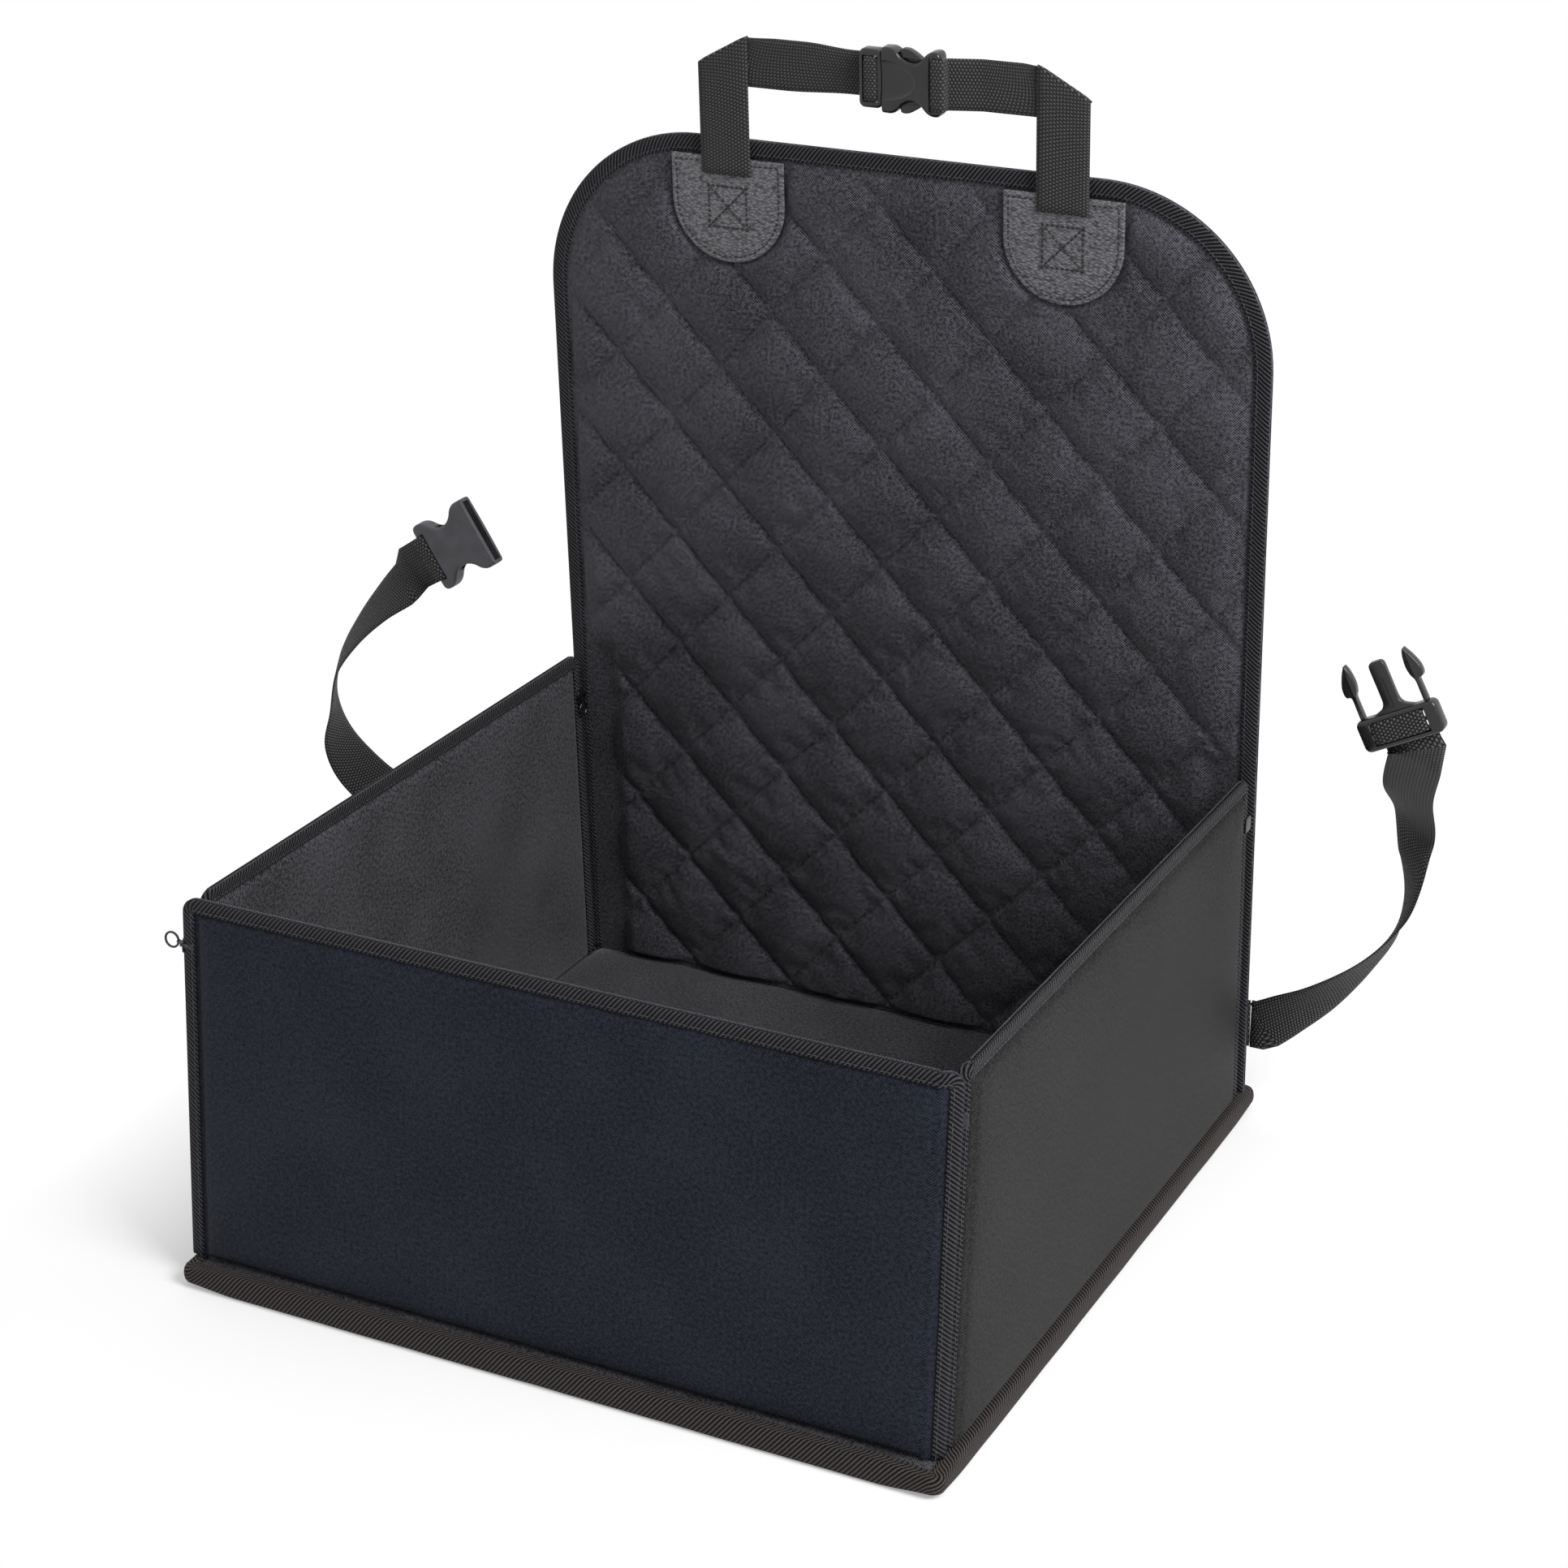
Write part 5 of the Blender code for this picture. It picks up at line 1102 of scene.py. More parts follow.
def dress_patches():
    """Each patch is rings drawn in from its outline, with a slot cut through it, a row of
    stitches in its dip, a sewn square over the strap's tail, and the tail itself."""
    tail, patch, loop = layer_heights()
    place, slot_y, flat = BACK_PANEL.place, BACK_HEIGHT - SLOT_DROP, (tail[0] + tail[1]) / 2
    inward = -place[1][:, 2]
    for label, side in (("left", 1), ("right", -1)):
        centre = side * LOOP_WIDTH / 2
        rings = []
        for inset, share in PATCH_SECTION:
            ring = patch_ring(centre, inset)
            rings.append(np.column_stack([ring, np.full(len(ring), patch[0] - share * PATCH_THICKNESS)]))
        made = make_piece(f"{label}_patch_leather", [placed(closed_rings(np.stack(rings)), place)], LEATHER,
                          "backrest")
        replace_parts(made, f"{label}_leather_patch")
        cut_slot(made, place, centre, slot_y, patch)
        ring = patch_ring(centre, PATCH_ROW_INSET)
        path = np.column_stack([ring, np.full(len(ring), patch[0] - PATCH_THICKNESS * 0.9)])
        path = put(np.vstack([path, path[:1]]), place)
        rows = [thread_stitches(path, inward, *PATCH_ROW)]
        sewn = (centre, slot_y - 0.019, patch[1] - PATCH_THICKNESS * 0.1)
        rows += box_stitches(sewn, PATCH_BOX, place, inward)
        make_piece(f"{label}_patch_stitches", rows, DARK_THREAD, "backrest", weld=0)
        path = [(slot_y - TAIL_LENGTH, flat), (slot_y - 0.004, flat), (slot_y - 0.0012, flat - 0.0003),
                (slot_y, tail[1] - SEAM_GAP), (slot_y, loop + SEAM_GAP)]
        path = smooth_route([(centre, a, b) for a, b in path], 6)
        across = np.broadcast_to(place[1][:, 0], path.shape)
        strap_piece(f"{label}_tail_webbing", put(path, place), across, WEBBING, "backrest",
                    f"{label}_strap_tail")


def cut_slot(piece, place, centre, slot_y, patch):
    """Cuts the slot that the loop's strap comes out of: a box through the patch."""
    half = UPRIGHT_WEBBING / 2 + SEAM_GAP
    low = np.array([centre - half, slot_y - SLOT_HEIGHT / 2, patch[1] - 0.003])
    high = np.array([centre + half, slot_y + SLOT_HEIGHT / 2, patch[0] + 0.002])
    box = bmesh.new()
    bmesh.ops.create_cube(box, size=1)
    corners = np.array([vert.co[:] for vert in box.verts])
    for vert, corner in zip(box.verts, put((low + high) / 2 + corners * (high - low), place)):
        vert.co = corner
    cut_with(piece, box, "slot")


def cut_with(piece, shape, name):
    """Cuts a closed shape out of a piece, and applies the cut at once."""
    bmesh.ops.recalc_face_normals(shape, faces=shape.faces)
    mesh = bpy.data.meshes.new(name)
    shape.to_mesh(mesh)
    shape.free()
    tool = bpy.data.objects.new(name, mesh)
    bpy.context.scene.collection.objects.link(tool)
    modifier = piece.modifiers.new(name, "BOOLEAN")
    modifier.operation = "DIFFERENCE"
    modifier.object = tool
    modifier.solver = "EXACT"
    depsgraph = bpy.context.evaluated_depsgraph_get()
    solved = bpy.data.meshes.new_from_object(piece.evaluated_get(depsgraph))
    piece.modifiers.clear()
    old = piece.data
    piece.data = solved
    solved.name = piece.name
    bpy.data.meshes.remove(old)
    bpy.data.objects.remove(tool)
    bpy.data.meshes.remove(mesh)


# Buckles

# How far mouldings are rounded at their edges: the body, the frame, the tongue and the prongs, then
# what the cuts left sharp; and how far a body's two ends are rounded
BODY_ROUND, FRAME_ROUND, TONGUE_ROUND, PRONG_ROUND = 0.0021, 0.0016, 0.0006, 0.0007
CUT_ROUND, PRONG_CUT_ROUND, END_ROUND, MOUTH_ROUND, FRAME_CORNER = 0.0004, 0.0003, 0.0022, 0.0006, 0.0035
# The room beside the webbing in a slot, the ladder's side rails, and the dish's depth and shares
WEBBING_ROOM, LADDER_RAIL, DISH_DEPTH, DISH_SHARES = 0.0006, 0.0034, 0.0019, (0.60, 0.64)


class Buckle:
    """The sizes of a buckle that follow from its webbing and its width."""

    def __init__(self, webbing, width, frame_length, body, reach, ladder=None):
        """Reach is how much longer tongue and prongs are than the solids'; ladder is the width of
        webbing that is drawn together into a frame narrower than the body."""
        self.frame_length, self.body, self.reach = frame_length, body, reach
        self.half = width / 2
        self.slot_half = webbing / 2 + WEBBING_ROOM
        self.ladder_slot = (ladder or webbing) / 2 + WEBBING_ROOM
        self.ladder_half = self.ladder_slot + LADDER_RAIL if ladder else self.half
        self.root = self.half - SOCKET_WALL - PRONG_BEAM - 0.0012


def moulded_slab(outline, low, high, radius, crown=0.0):
    """A flat moulding: the outline's rings from face to face, drawn in along a quarter circle at
    both edges, and its faces raised a little towards the middle."""
    outline = np.asarray(outline, float)
    ahead = unit(np.roll(outline, -1, 0) - np.roll(outline, 1, 0))
    normal = np.column_stack([ahead[:, 1], -ahead[:, 0]])
    if np.sum(outline[:, 0] * np.roll(outline[:, 1], -1) - np.roll(outline[:, 0], -1) * outline[:, 1]) < 0:
        normal = -normal
    angle = np.linspace(0, RIGHT_ANGLE, 4)
    profile = [(radius * (1 - math.sin(a)), low + radius * (1 - math.cos(a))) for a in angle]
    profile += [(radius * (1 - math.cos(a)), high - radius * (1 - math.sin(a))) for a in angle]
    rings = [np.column_stack([outline - normal * inset, np.full(len(outline), z)]) for inset, z in profile]
    if crown:
        centre = (outline.min(0) + outline.max(0)) / 2
        inner = centre + (rings[0][:, :2] - centre) * 0.7
        rings = [np.column_stack([inner, np.full(len(inner), low - crown)])] + rings
        rings += [np.column_stack([inner, np.full(len(inner), high + crown)])]
    return closed_rings(np.stack(rings))


def round_outline(half_shares, steps=5):
    """A smooth outline, the same on both sides of the buckle's length."""
    upper = smooth_route(half_shares, steps)
    return np.vstack([upper * [1, -1], upper[::-1]])


def block(low, high):
    """A box as points, faces and blank UVs."""
    low, high = np.array(low, float), np.array(high, float)
    pick = np.array([(0, 0, 0), (1, 0, 0), (1, 1, 0), (0, 1, 0), (0, 0, 1), (1, 0, 1), (1, 1, 1), (0, 1, 1)])
    faces = [[3, 2, 1, 0], [4, 5, 6, 7], [0, 1, 5, 4], [1, 2, 6, 5], [2, 3, 7, 6], [3, 0, 4, 7]]
    return low + pick * (high - low), faces, np.zeros((24, 2))


def solid_from(part, place):
    """A part as an open shape in the world, ready to cut or to join."""
    shape = bmesh.new()
    verts = [shape.verts.new(point) for point in put(part[0], place)]
    for face in part[1]:
        shape.faces.new([verts[index] for index in face])
    return shape


def solid_box(low, high, place):
    """A box between two corners of a frame, as such a shape."""
    return solid_from(block(low, high), place)


def rounded_loft(stations, radius, crown):
    """A moulding carried along its length: at each station the section is a box with quarter
    circles at its edges, and faces that rise towards the middle by one less the share squared."""
    x, wide, tall = np.asarray(stations, float).T[:, :, None]
    soft = np.minimum(radius, 0.8 * np.minimum(wide, tall))
    turn = np.linspace(0, RIGHT_ANGLE, 6)
    share = np.linspace(1, -1, 15)[1:-1]
    rise = tall + crown * (1 - share ** 2)
    across, height = [], []
    for k, (sy, sz) in enumerate(QUARTERS):
        across.append(sy * (wide - soft) + soft * np.cos(turn + k * RIGHT_ANGLE))
        height.append(sz * (tall - soft) + soft * np.sin(turn + k * RIGHT_ANGLE))
        if k in (0, 2):
            across.append((1 - k) * (wide - soft) * share)
            height.append((1 - k) * rise)
    return closed_rings(spread(x, np.concatenate(across, axis=1), np.concatenate(height, axis=1)))


def join_part(piece, part, place):
    """Adds a closed part to a piece that it grows out of."""
    shape = solid_from(part, place)
    bmesh.ops.recalc_face_normals(shape, faces=shape.faces)
    shape.from_mesh(piece.data)
    shape.to_mesh(piece.data)
    shape.free()


def moulded_piece(name, part, place, material, body, node):
    """A piece of a buckle made of one part, in place of its solid."""
    made = make_piece(name, [placed(part, place)], material, body)
    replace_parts(made, node)
    return made


def finish_moulding(piece, width):
    """A small rounded edge on what the cuts left sharp, then flat faces and smooth turns."""
    bevel = piece.modifiers.new("moulded_edges", "BEVEL")
    bevel.width = width
    bevel.segments = 2
    bevel.limit_method = "ANGLE"
    bevel.angle_limit = SHARP_TURN
    bevel.harden_normals = True
    piece.data.shade_smooth()
    piece.data.set_sharp_from_angle(angle=SHARP_TURN)


def scoop(centre, radii):
    """An ellipsoid as rings from pole to pole, to hollow out a shallow dish."""
    rise = np.linspace(-0.995, 0.995, 21) * RIGHT_ANGLE
    turn = np.linspace(0, 2 * math.pi, 48, endpoint=False)
    wide = np.cos(rise)[:, None]
    grid = spread(wide * np.cos(turn), wide * np.sin(turn), np.sin(rise)[:, None]) * radii + centre
    return grid_part(grid, np.zeros((21, 49, 2)), wrap=True, caps=True)


def dress_female(node, buckle, place, material, body, dished):
    """A waisted body with an open socket, a thumb recess, and lobes that hold the strap bar."""
    shares = [(0, 1.0), (0.08, 1.01), (0.17, 1.0), (0.25, 0.92), (0.33, 0.75), (0.44, 0.63), (0.57, 0.62),
              (0.67, 0.72), (0.76, 0.9), (0.84, 0.98), (0.92, 0.99), (0.97, 0.96), (1.0, 0.93)]
    curve = smooth_route(shares, 8)
    turn = np.linspace(0, RIGHT_ANGLE, 6)
    length = buckle.body
    between = np.linspace(MOUTH_ROUND, length - END_ROUND, 62)[1:-1]
    runs = np.concatenate([MOUTH_ROUND * (1 - np.cos(turn)), between, length - END_ROUND * (1 - np.sin(turn))])
    drawn = np.concatenate([MOUTH_ROUND * (1 - np.sin(turn)), np.zeros(60), END_ROUND * (1 - np.cos(turn))])
    wide = np.interp(runs / length, curve[:, 0], curve[:, 1]) * buckle.half - drawn
    thick = BODY_THICKNESS / 2
    dome = 1 + 0.07 * np.exp(-((runs / length - 0.72) / 0.12) ** 2)
    part = rounded_loft(np.column_stack([SEAM_GAP + runs, wide, thick * dome - drawn]), BODY_ROUND, 0.0004)
    made = moulded_piece(f"{node}_body", part, place, material, body, node)
    hollow = buckle.half - SOCKET_WALL
    mouth, deep = SOCKET_HEIGHT / 2, SOCKET_DEPTH * buckle.body / BODY_LENGTH
    cut_with(made, solid_box((-0.002, -hollow, -mouth), (deep, hollow, mouth), place), "socket")
    end = SEAM_GAP + buckle.body - STRAP_BAR
    slot = solid_box((end - STRAP_SLOT, -buckle.slot_half, -0.01), (end, buckle.slot_half, 0.01), place)
    cut_with(made, slot, "slot")
    for face in (-1, 1) if dished else ():
        radii = (DISH_SHARES[0] * buckle.body, DISH_SHARES[1] * buckle.half, DISH_DEPTH)
        dish = scoop((0, 0, face * (thick + 0.0004)), radii)
        cut_with(made, solid_from(dish, place), "dish")
    finish_moulding(made, CUT_ROUND)


def dress_male(node, buckle, place, material, body, prong_bodies):
    """A ladder frame with a strap bar and a tongue, and two prongs on their own hinges."""
    half, slot, length = buckle.ladder_half, buckle.ladder_slot, buckle.frame_length
    thick = FRAME_THICKNESS / 2
    outline = np.concatenate(quarter_arcs(length / 2, half, FRAME_CORNER, 6)) - [length / 2, 0]
    slab = moulded_slab(outline, -thick, thick, FRAME_ROUND, 0.0002)
    made = moulded_piece(f"{node}_frame", slab, place, material, body, node)
    window = solid_box((FRAME_RAIL - length, -slot, -0.01), (-FRAME_RAIL, slot, 0.01), place)
    cut_with(made, window, "window")
    middle = -length / 2
    join_part(made, block((middle - FRAME_BAR / 2, -slot - 0.001, -FRAME_BAR_HEIGHT / 2),
                          (middle + FRAME_BAR / 2, slot + 0.001, FRAME_BAR_HEIGHT / 2)), place)
    tongue = TONGUE_WIDTH / 2
    flare = buckle.root - 2 * PRONG_BEAM
    shares = [(-0.045, 1.0), (0.0, 0.9), (0.05, 0.5), (0.10, 0.2), (0.18, 0.04), (0.30, 0.0), (0.6, 0.0),
              (0.88, 0.0)]
    reach = TONGUE_LENGTH * buckle.reach
    upper = [(a * reach, tongue + (flare - tongue) * b) for a, b in shares]
    upper += [(0.965 * reach, tongue * 0.86), (reach, tongue * 0.55)]
    half_thick = TONGUE_THICKNESS / 2
    join_part(made, moulded_slab(round_outline(upper), -half_thick, half_thick, TONGUE_ROUND), place)
    ridge = half_thick + 0.0005
    join_part(made, block((0.002, -0.0007, -ridge), (0.019, 0.0007, ridge)), place)
    finish_moulding(made, CUT_ROUND)
    for side, label in ((1, "upper"), (-1, "lower")):
        shares = [(0.0, 0.0), (0.0, 0.5), (0.0, 1.0), (0.20, 1.0), (0.41, 1.05), (0.44, 2.1), (0.52, 2.5),
                  (0.66, 2.3), (0.84, 1.3), (0.96, 0.35), (1.0, 0.0), (0.97, -0.4), (0.86, -0.85),
                  (0.66, -1.1), (0.50, -0.7), (0.40, -0.05), (0.2, 0.0)]
        long = PRONG_LENGTH * buckle.reach
        ring = np.array([(SEAM_GAP + a * long, side * (buckle.root + b * PRONG_BEAM)) for a, b in shares])
        closed = smooth_route(np.vstack([ring, ring[:1]]), 4)[:-1]
        part = moulded_slab(closed, -PRONG_THICKNESS / 2, PRONG_THICKNESS / 2, PRONG_ROUND)
        prong = moulded_piece(f"{node}_{label}_arrow", part, place, material, prong_bodies[label],
                              f"{node}_{label}_prong")
        finish_moulding(prong, PRONG_CUT_ROUND)


def strap_drop():
    """How far a strap's middle lies off the buckle's: half of each and a gap."""
    return FRAME_THICKNESS / 2 + SEAM_GAP + WEBBING_THICKNESS / 2


def male_wrap(buckle):
    """The strap's way round the ladder's bar, as (along, height): under the near rail, up through
    the window beside the bar, over it and down on its far side."""
    under, over = -strap_drop(), FRAME_THICKNESS / 2 + SEAM_GAP
    middle = -buckle.frame_length / 2
    gap = -middle - FRAME_RAIL - SEAM_GAP - WEBBING_THICKNESS / 2
    rear = -buckle.frame_length - FRAME_RAIL
    return [(rear - 2 * FRAME_RAIL, under), (rear, under), (middle - gap, under), (middle - gap, over),
            (middle + gap, over), (middle + gap, 0)]


def female_wrap(buckle):
    """The strap's way round the body's end, as (along, height): up behind the bar, over it and
    down into the slot."""
    over = BODY_THICKNESS / 2 + SEAM_GAP + WEBBING_THICKNESS / 2
    end = SEAM_GAP + buckle.body
    round_end = end + SEAM_GAP + WEBBING_THICKNESS
    slot = end - STRAP_BAR - STRAP_SLOT / 2
    start = (end + 2 * BODY_THICKNESS, -strap_drop())
    return [start, (round_end, 0), (round_end, over), (slot, over), (slot, 0)]


def round_turns(points, radius, steps=5):
    """A polyline whose sharp turns are arcs: each corner becomes a curve between two points a
    radius before and after it."""
    points = np.asarray(points, float)
    out = [points[0]]
    t = np.linspace(0, 1, steps)[:, None]
    for a, b, c in zip(points[:-2], points[1:-1], points[2:]):
        cut = min(radius, 0.45 * np.linalg.norm(b - a), 0.45 * np.linalg.norm(c - b))
        start = b + (a - b) / np.linalg.norm(a - b) * cut
        end = b + (c - b) / np.linalg.norm(c - b) * cut
        out += list((1 - t) ** 2 * start + 2 * t * (1 - t) * b + t ** 2 * end)
    return np.array(out + [points[-1]])


# Headrest loop

# Where the loop swings, at the slots, the height of the straps' rear run in that frame, the turn at
# a buckle's bar, and the share of a run by which it lies level and from which it is drawn together
LOOP_PLACE = inside(BACK, (0, BACK_HEIGHT - SLOT_DROP, layer_heights()[2]), about("Y", math.pi))
LOOP_BACK = -SEAM_GAP - WEBBING_THICKNESS / 2
BAR_TURN, LEVEL_SHARE, GATHER_SHARE = 0.0016, 0.3, 0.55


def loop_strap(label, side, wrap, seam):
    """One strap of the loop, in rows across it: the upright, the half turn at its slanted crease,
    the run that is drawn level and together, and the way round its buckle half."""
    rise = LOOP_RISE + SLOT_DROP
    run_y = rise - RUN_WEBBING / 2
    front, back = WEBBING_THICKNESS / 2, LOOP_BACK
    share = np.linspace(0, 1, 9)
    x = side * (LOOP_WIDTH + UPRIGHT_WEBBING * (1 - 2 * share)) / 2
    crease = rise - FOLD_DROP * (1 - share)
    fold = crease - 0.0008
    up = np.linspace(0, 1, 16)[:, None]
    turn = np.linspace(0, math.pi, 8)[1:-1, None]
    upright = spread(x, SEAM_GAP + (fold - SEAM_GAP) * up, front)
    middle, radius = (front + back) / 2, (front - back) / 2
    turned = spread(x, fold + radius * np.sin(turn), middle + radius * np.cos(turn))
    along = np.concatenate([np.linspace(0, LEVEL_SHARE, 10), np.linspace(LEVEL_SHARE, 1, 22)[1:]])[:, None]
    level = eased(np.clip(along / LEVEL_SHARE, 0, 1))
    gather = eased(np.clip((along - GATHER_SHARE) / (1 - GATHER_SHARE), 0, 1))
    level_y = rise - RUN_WEBBING * (1 - share)
    drawn = (GATHERED_WEBBING if side < 0 else RUN_WEBBING) / RUN_WEBBING
    height = run_y + (fold * (1 - level) + level_y * level - run_y) * (1 - (1 - drawn) * gather)
    run = spread(x + (seam + wrap[0][0] - x) * along, height, back)
    hook = round_turns([(seam + a, back + strap_drop() + b) for a, b in wrap], BAR_TURN)[1:]
    held = spread(hook[:, :1], run_y + (level_y - run_y) * drawn, hook[:, 1:])
    grid = np.concatenate([upright, turned, run, held])
    part = thick_sheet(grid, sheet_uv(run_along(grid[:, 4]), share * WEBBING), WEBBING_THICKNESS)
    made = make_piece(f"{label}_loop_webbing", [placed(part, LOOP_PLACE)], LOOP_STRAP,
                      "headrest_loop")
    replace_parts(made, f"{label}_headrest_strap")


def dress_loop():
    """The closed buckle and the two straps that run to its halves."""
    buckle = Buckle(RUN_WEBBING, LOOP_BUCKLE_WIDTH, LOOP_FRAME_LENGTH, LOOP_BODY, 0.88, GATHERED_WEBBING)
    seam = (LOOP_FRAME_LENGTH - LOOP_BODY) / 2 + LOOP_BUCKLE_SHIFT
    run_y = LOOP_RISE + SLOT_DROP - RUN_WEBBING / 2
    buckle_place = inside(LOOP_PLACE, (seam, run_y, LOOP_BACK + strap_drop()))
    dress_male("headrest_buckle_male", buckle, buckle_place, GLOSS, "headrest_loop",
               {"upper": "headrest_upper_prong", "lower": "headrest_lower_prong"})
    dress_female("headrest_buckle_female", buckle, buckle_place, GLOSS, "headrest_loop", True)
    loop_strap("left", -1, male_wrap(buckle), seam)
    loop_strap("right", 1, female_wrap(buckle), seam)


# Lap straps

# Shares of the span to the side, up and to the front, then the twist in degrees
LEFT_ROUTE_SHARES = [(0, 0, 0, 0), (0.06, 0, 0, 0), (0.3675, 0.0559, 1, 7), (0.6434, 0.1236, 1, 19),
                     (0.8562, 0.2149, 1, 42), (0.9703, 0.3421, 1, 81), (0.9921, 0.4884, 1, 114),
                     (0.9615, 0.6525, 1, 118), (0.8739, 0.7979, 1, 125), (0.7679, 0.9226, 1, 138),
                     (0.672, 1.012, 1, 158)]
RIGHT_ROUTE_SHARES = [(0, 0, 0, 0), (0.06, 0, 0, 0), (0.1816, 0.0427, 0, 19), (0.3606, 0.1063, -0.014, 42),
                      (0.5639, 0.2035, -0.014, 66), (0.716, 0.2981, -0.014, 84),
                      (0.7937, 0.3965, -0.014, 108), (0.8296, 0.5184, 0.05, 132),
                      (0.8376, 0.6443, 0.086, 155), (0.8966, 0.7991, 0.511, 177), (1.03, 0.9642, 0.95, 180)]


def dress_lap_strap(label, side, span, shares, buckle_place, turn, wrap_of):
    """The sewn anchor on the backrest's rear, the strap along its route, turned about its own
    direction as the route says, and its half of the buckle at the end."""
    edge = BACK_WIDTH / 2
    middle = SEAM_GAP + WEBBING_THICKNESS / 2
    ends = [(-side * edge, LAP_HEIGHT, middle), (-side * (edge - ANCHOR_LENGTH), LAP_HEIGHT, middle)]
    centres = put(resample(ends, 0.003), BACK)
    upright = np.broadcast_to(BACK[1][:, 1], centres.shape)
    strap_piece(f"{label}_anchor_webbing", centres, upright, LAP_WEBBING, "backrest", f"{label}_strap_anchor")
    sewn = (-side * (edge - 0.040), LAP_HEIGHT, middle + WEBBING_THICKNESS / 2)
    rows = box_stitches(sewn, ANCHOR_BOX, BACK, BACK[1][:, 2])
    make_piece(f"{label}_anchor_stitches", rows, THREAD, "backrest", weld=0)

    axes = about("Y", math.pi) @ about("X", -BACK_LEAN)
    place = inside(BACK, (-side * (edge + LAP_SEAM), LAP_HEIGHT, middle), axes)
    buckle = Buckle(LAP_WEBBING, LAP_BUCKLE_WIDTH, LAP_FRAME_LENGTH, BODY_LENGTH, 1.12)
    table = np.array(shares, float) * [side * span[0], span[1], span[2], 1]
    route = smooth_route(table[1:], 9)
    path, twist = route[:, :3], np.radians(route[:, 3])
    ahead = unit(np.gradient(path, axis=0))
    flat = unit(np.column_stack([-ahead[:, 1], ahead[:, 0], 0 * ahead[:, 0]])) * side
    across = (flat * np.cos(twist)[:, None] + np.cross(ahead, flat) * np.sin(twist)[:, None])
    along = np.array([math.cos(turn), math.sin(turn), 0])
    square = np.array([-along[1], along[0], 0])
    hook = round_turns([(a, 0, b) for a, b in wrap_of(buckle)], 0.0018)
    hook = np.array(buckle_place) + hook[:, :1] * along + hook[:, 2:] * np.array([0, 0, 1])
    path = np.vstack([[0, 0, 0], path, hook])
    across = np.vstack([[0, 1, 0], across, np.broadcast_to(-square, hook.shape)])
    body = f"{label}_lap"
    across = across @ place[1].T
    strap_piece(f"{label}_lap_webbing", put(path, place), across, LAP_WEBBING, body, f"{label}_lap_strap")
    inner = inside(place, buckle_place, about("Z", turn))
    if side < 0:
        dress_female("lap_buckle_female", buckle, inner, MATTE, body, False)
    else:
        dress_male("lap_buckle_male", buckle, inner, GLOSS, body,
                   {"upper": "lap_upper_prong", "lower": "lap_lower_prong"})


# Zips

# A tooth: the loop's reach and half height, how far it bends each way, and its wire's half width
TOOTH_REACH, TOOTH_HALF, TOOTH_BEND, TOOTH_WIRE = 0.0009, 0.0010, 2.2, 0.00036
# How far a coil stops before the middle of its gap; the rounding of the slider's plates and pull
COIL_REST, SLIDER_ROUND, SLIDER_CROWN, TAB_ROUND = 0.0016, 0.0003, 0.0001, 0.0006


def coil_teeth(name, start, end, off, normal, shift, node, body):
    """One half of a coil: a small loop of wire, bent open towards its edge, is worked out once
    and repeated at every tooth; the shift is in teeth."""
    start, end, off, normal = (np.asarray(v, float) for v in (start, end, off, normal))
    count = int(np.linalg.norm(end - start) / TOOTH_PITCH)
    along = unit(end - start)
    at = (start + (end - start) * ((np.arange(count) + 0.5 + shift) / count)[:, None])
    angle = np.linspace(-TOOTH_BEND, TOOTH_BEND, 7)
    loop = np.column_stack([TOOTH_REACH * (1 + np.cos(angle)), TOOTH_HALF * np.sin(angle)])
    sides = np.linspace(0, 2 * math.pi, 4, endpoint=False)
    radial = np.column_stack([np.cos(angle), np.sin(angle)])
    ring = loop[:, None] + TOOTH_WIRE * np.cos(sides)[None, :, None] * radial[:, None]
    depth = np.broadcast_to(TOOTH_WIRE * np.sin(sides), (7, 4))
    local = np.stack([ring[..., 0], depth, ring[..., 1]], -1)
    axes = np.stack([off, along, normal])
    points = (at[:, None, None] + local @ axes).reshape(-1, 3)
    _, faces, face_uv = grid_part(local, np.zeros((7, 5, 2)), wrap=True, caps=True)
    all_faces = [[index + 28 * k for index in face] for k in range(count) for face in faces]
    coil = (points, all_faces, np.tile(face_uv, (count, 1)))
    made = make_piece(name, [coil], COIL, body, weld=0)
    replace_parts(made, node)


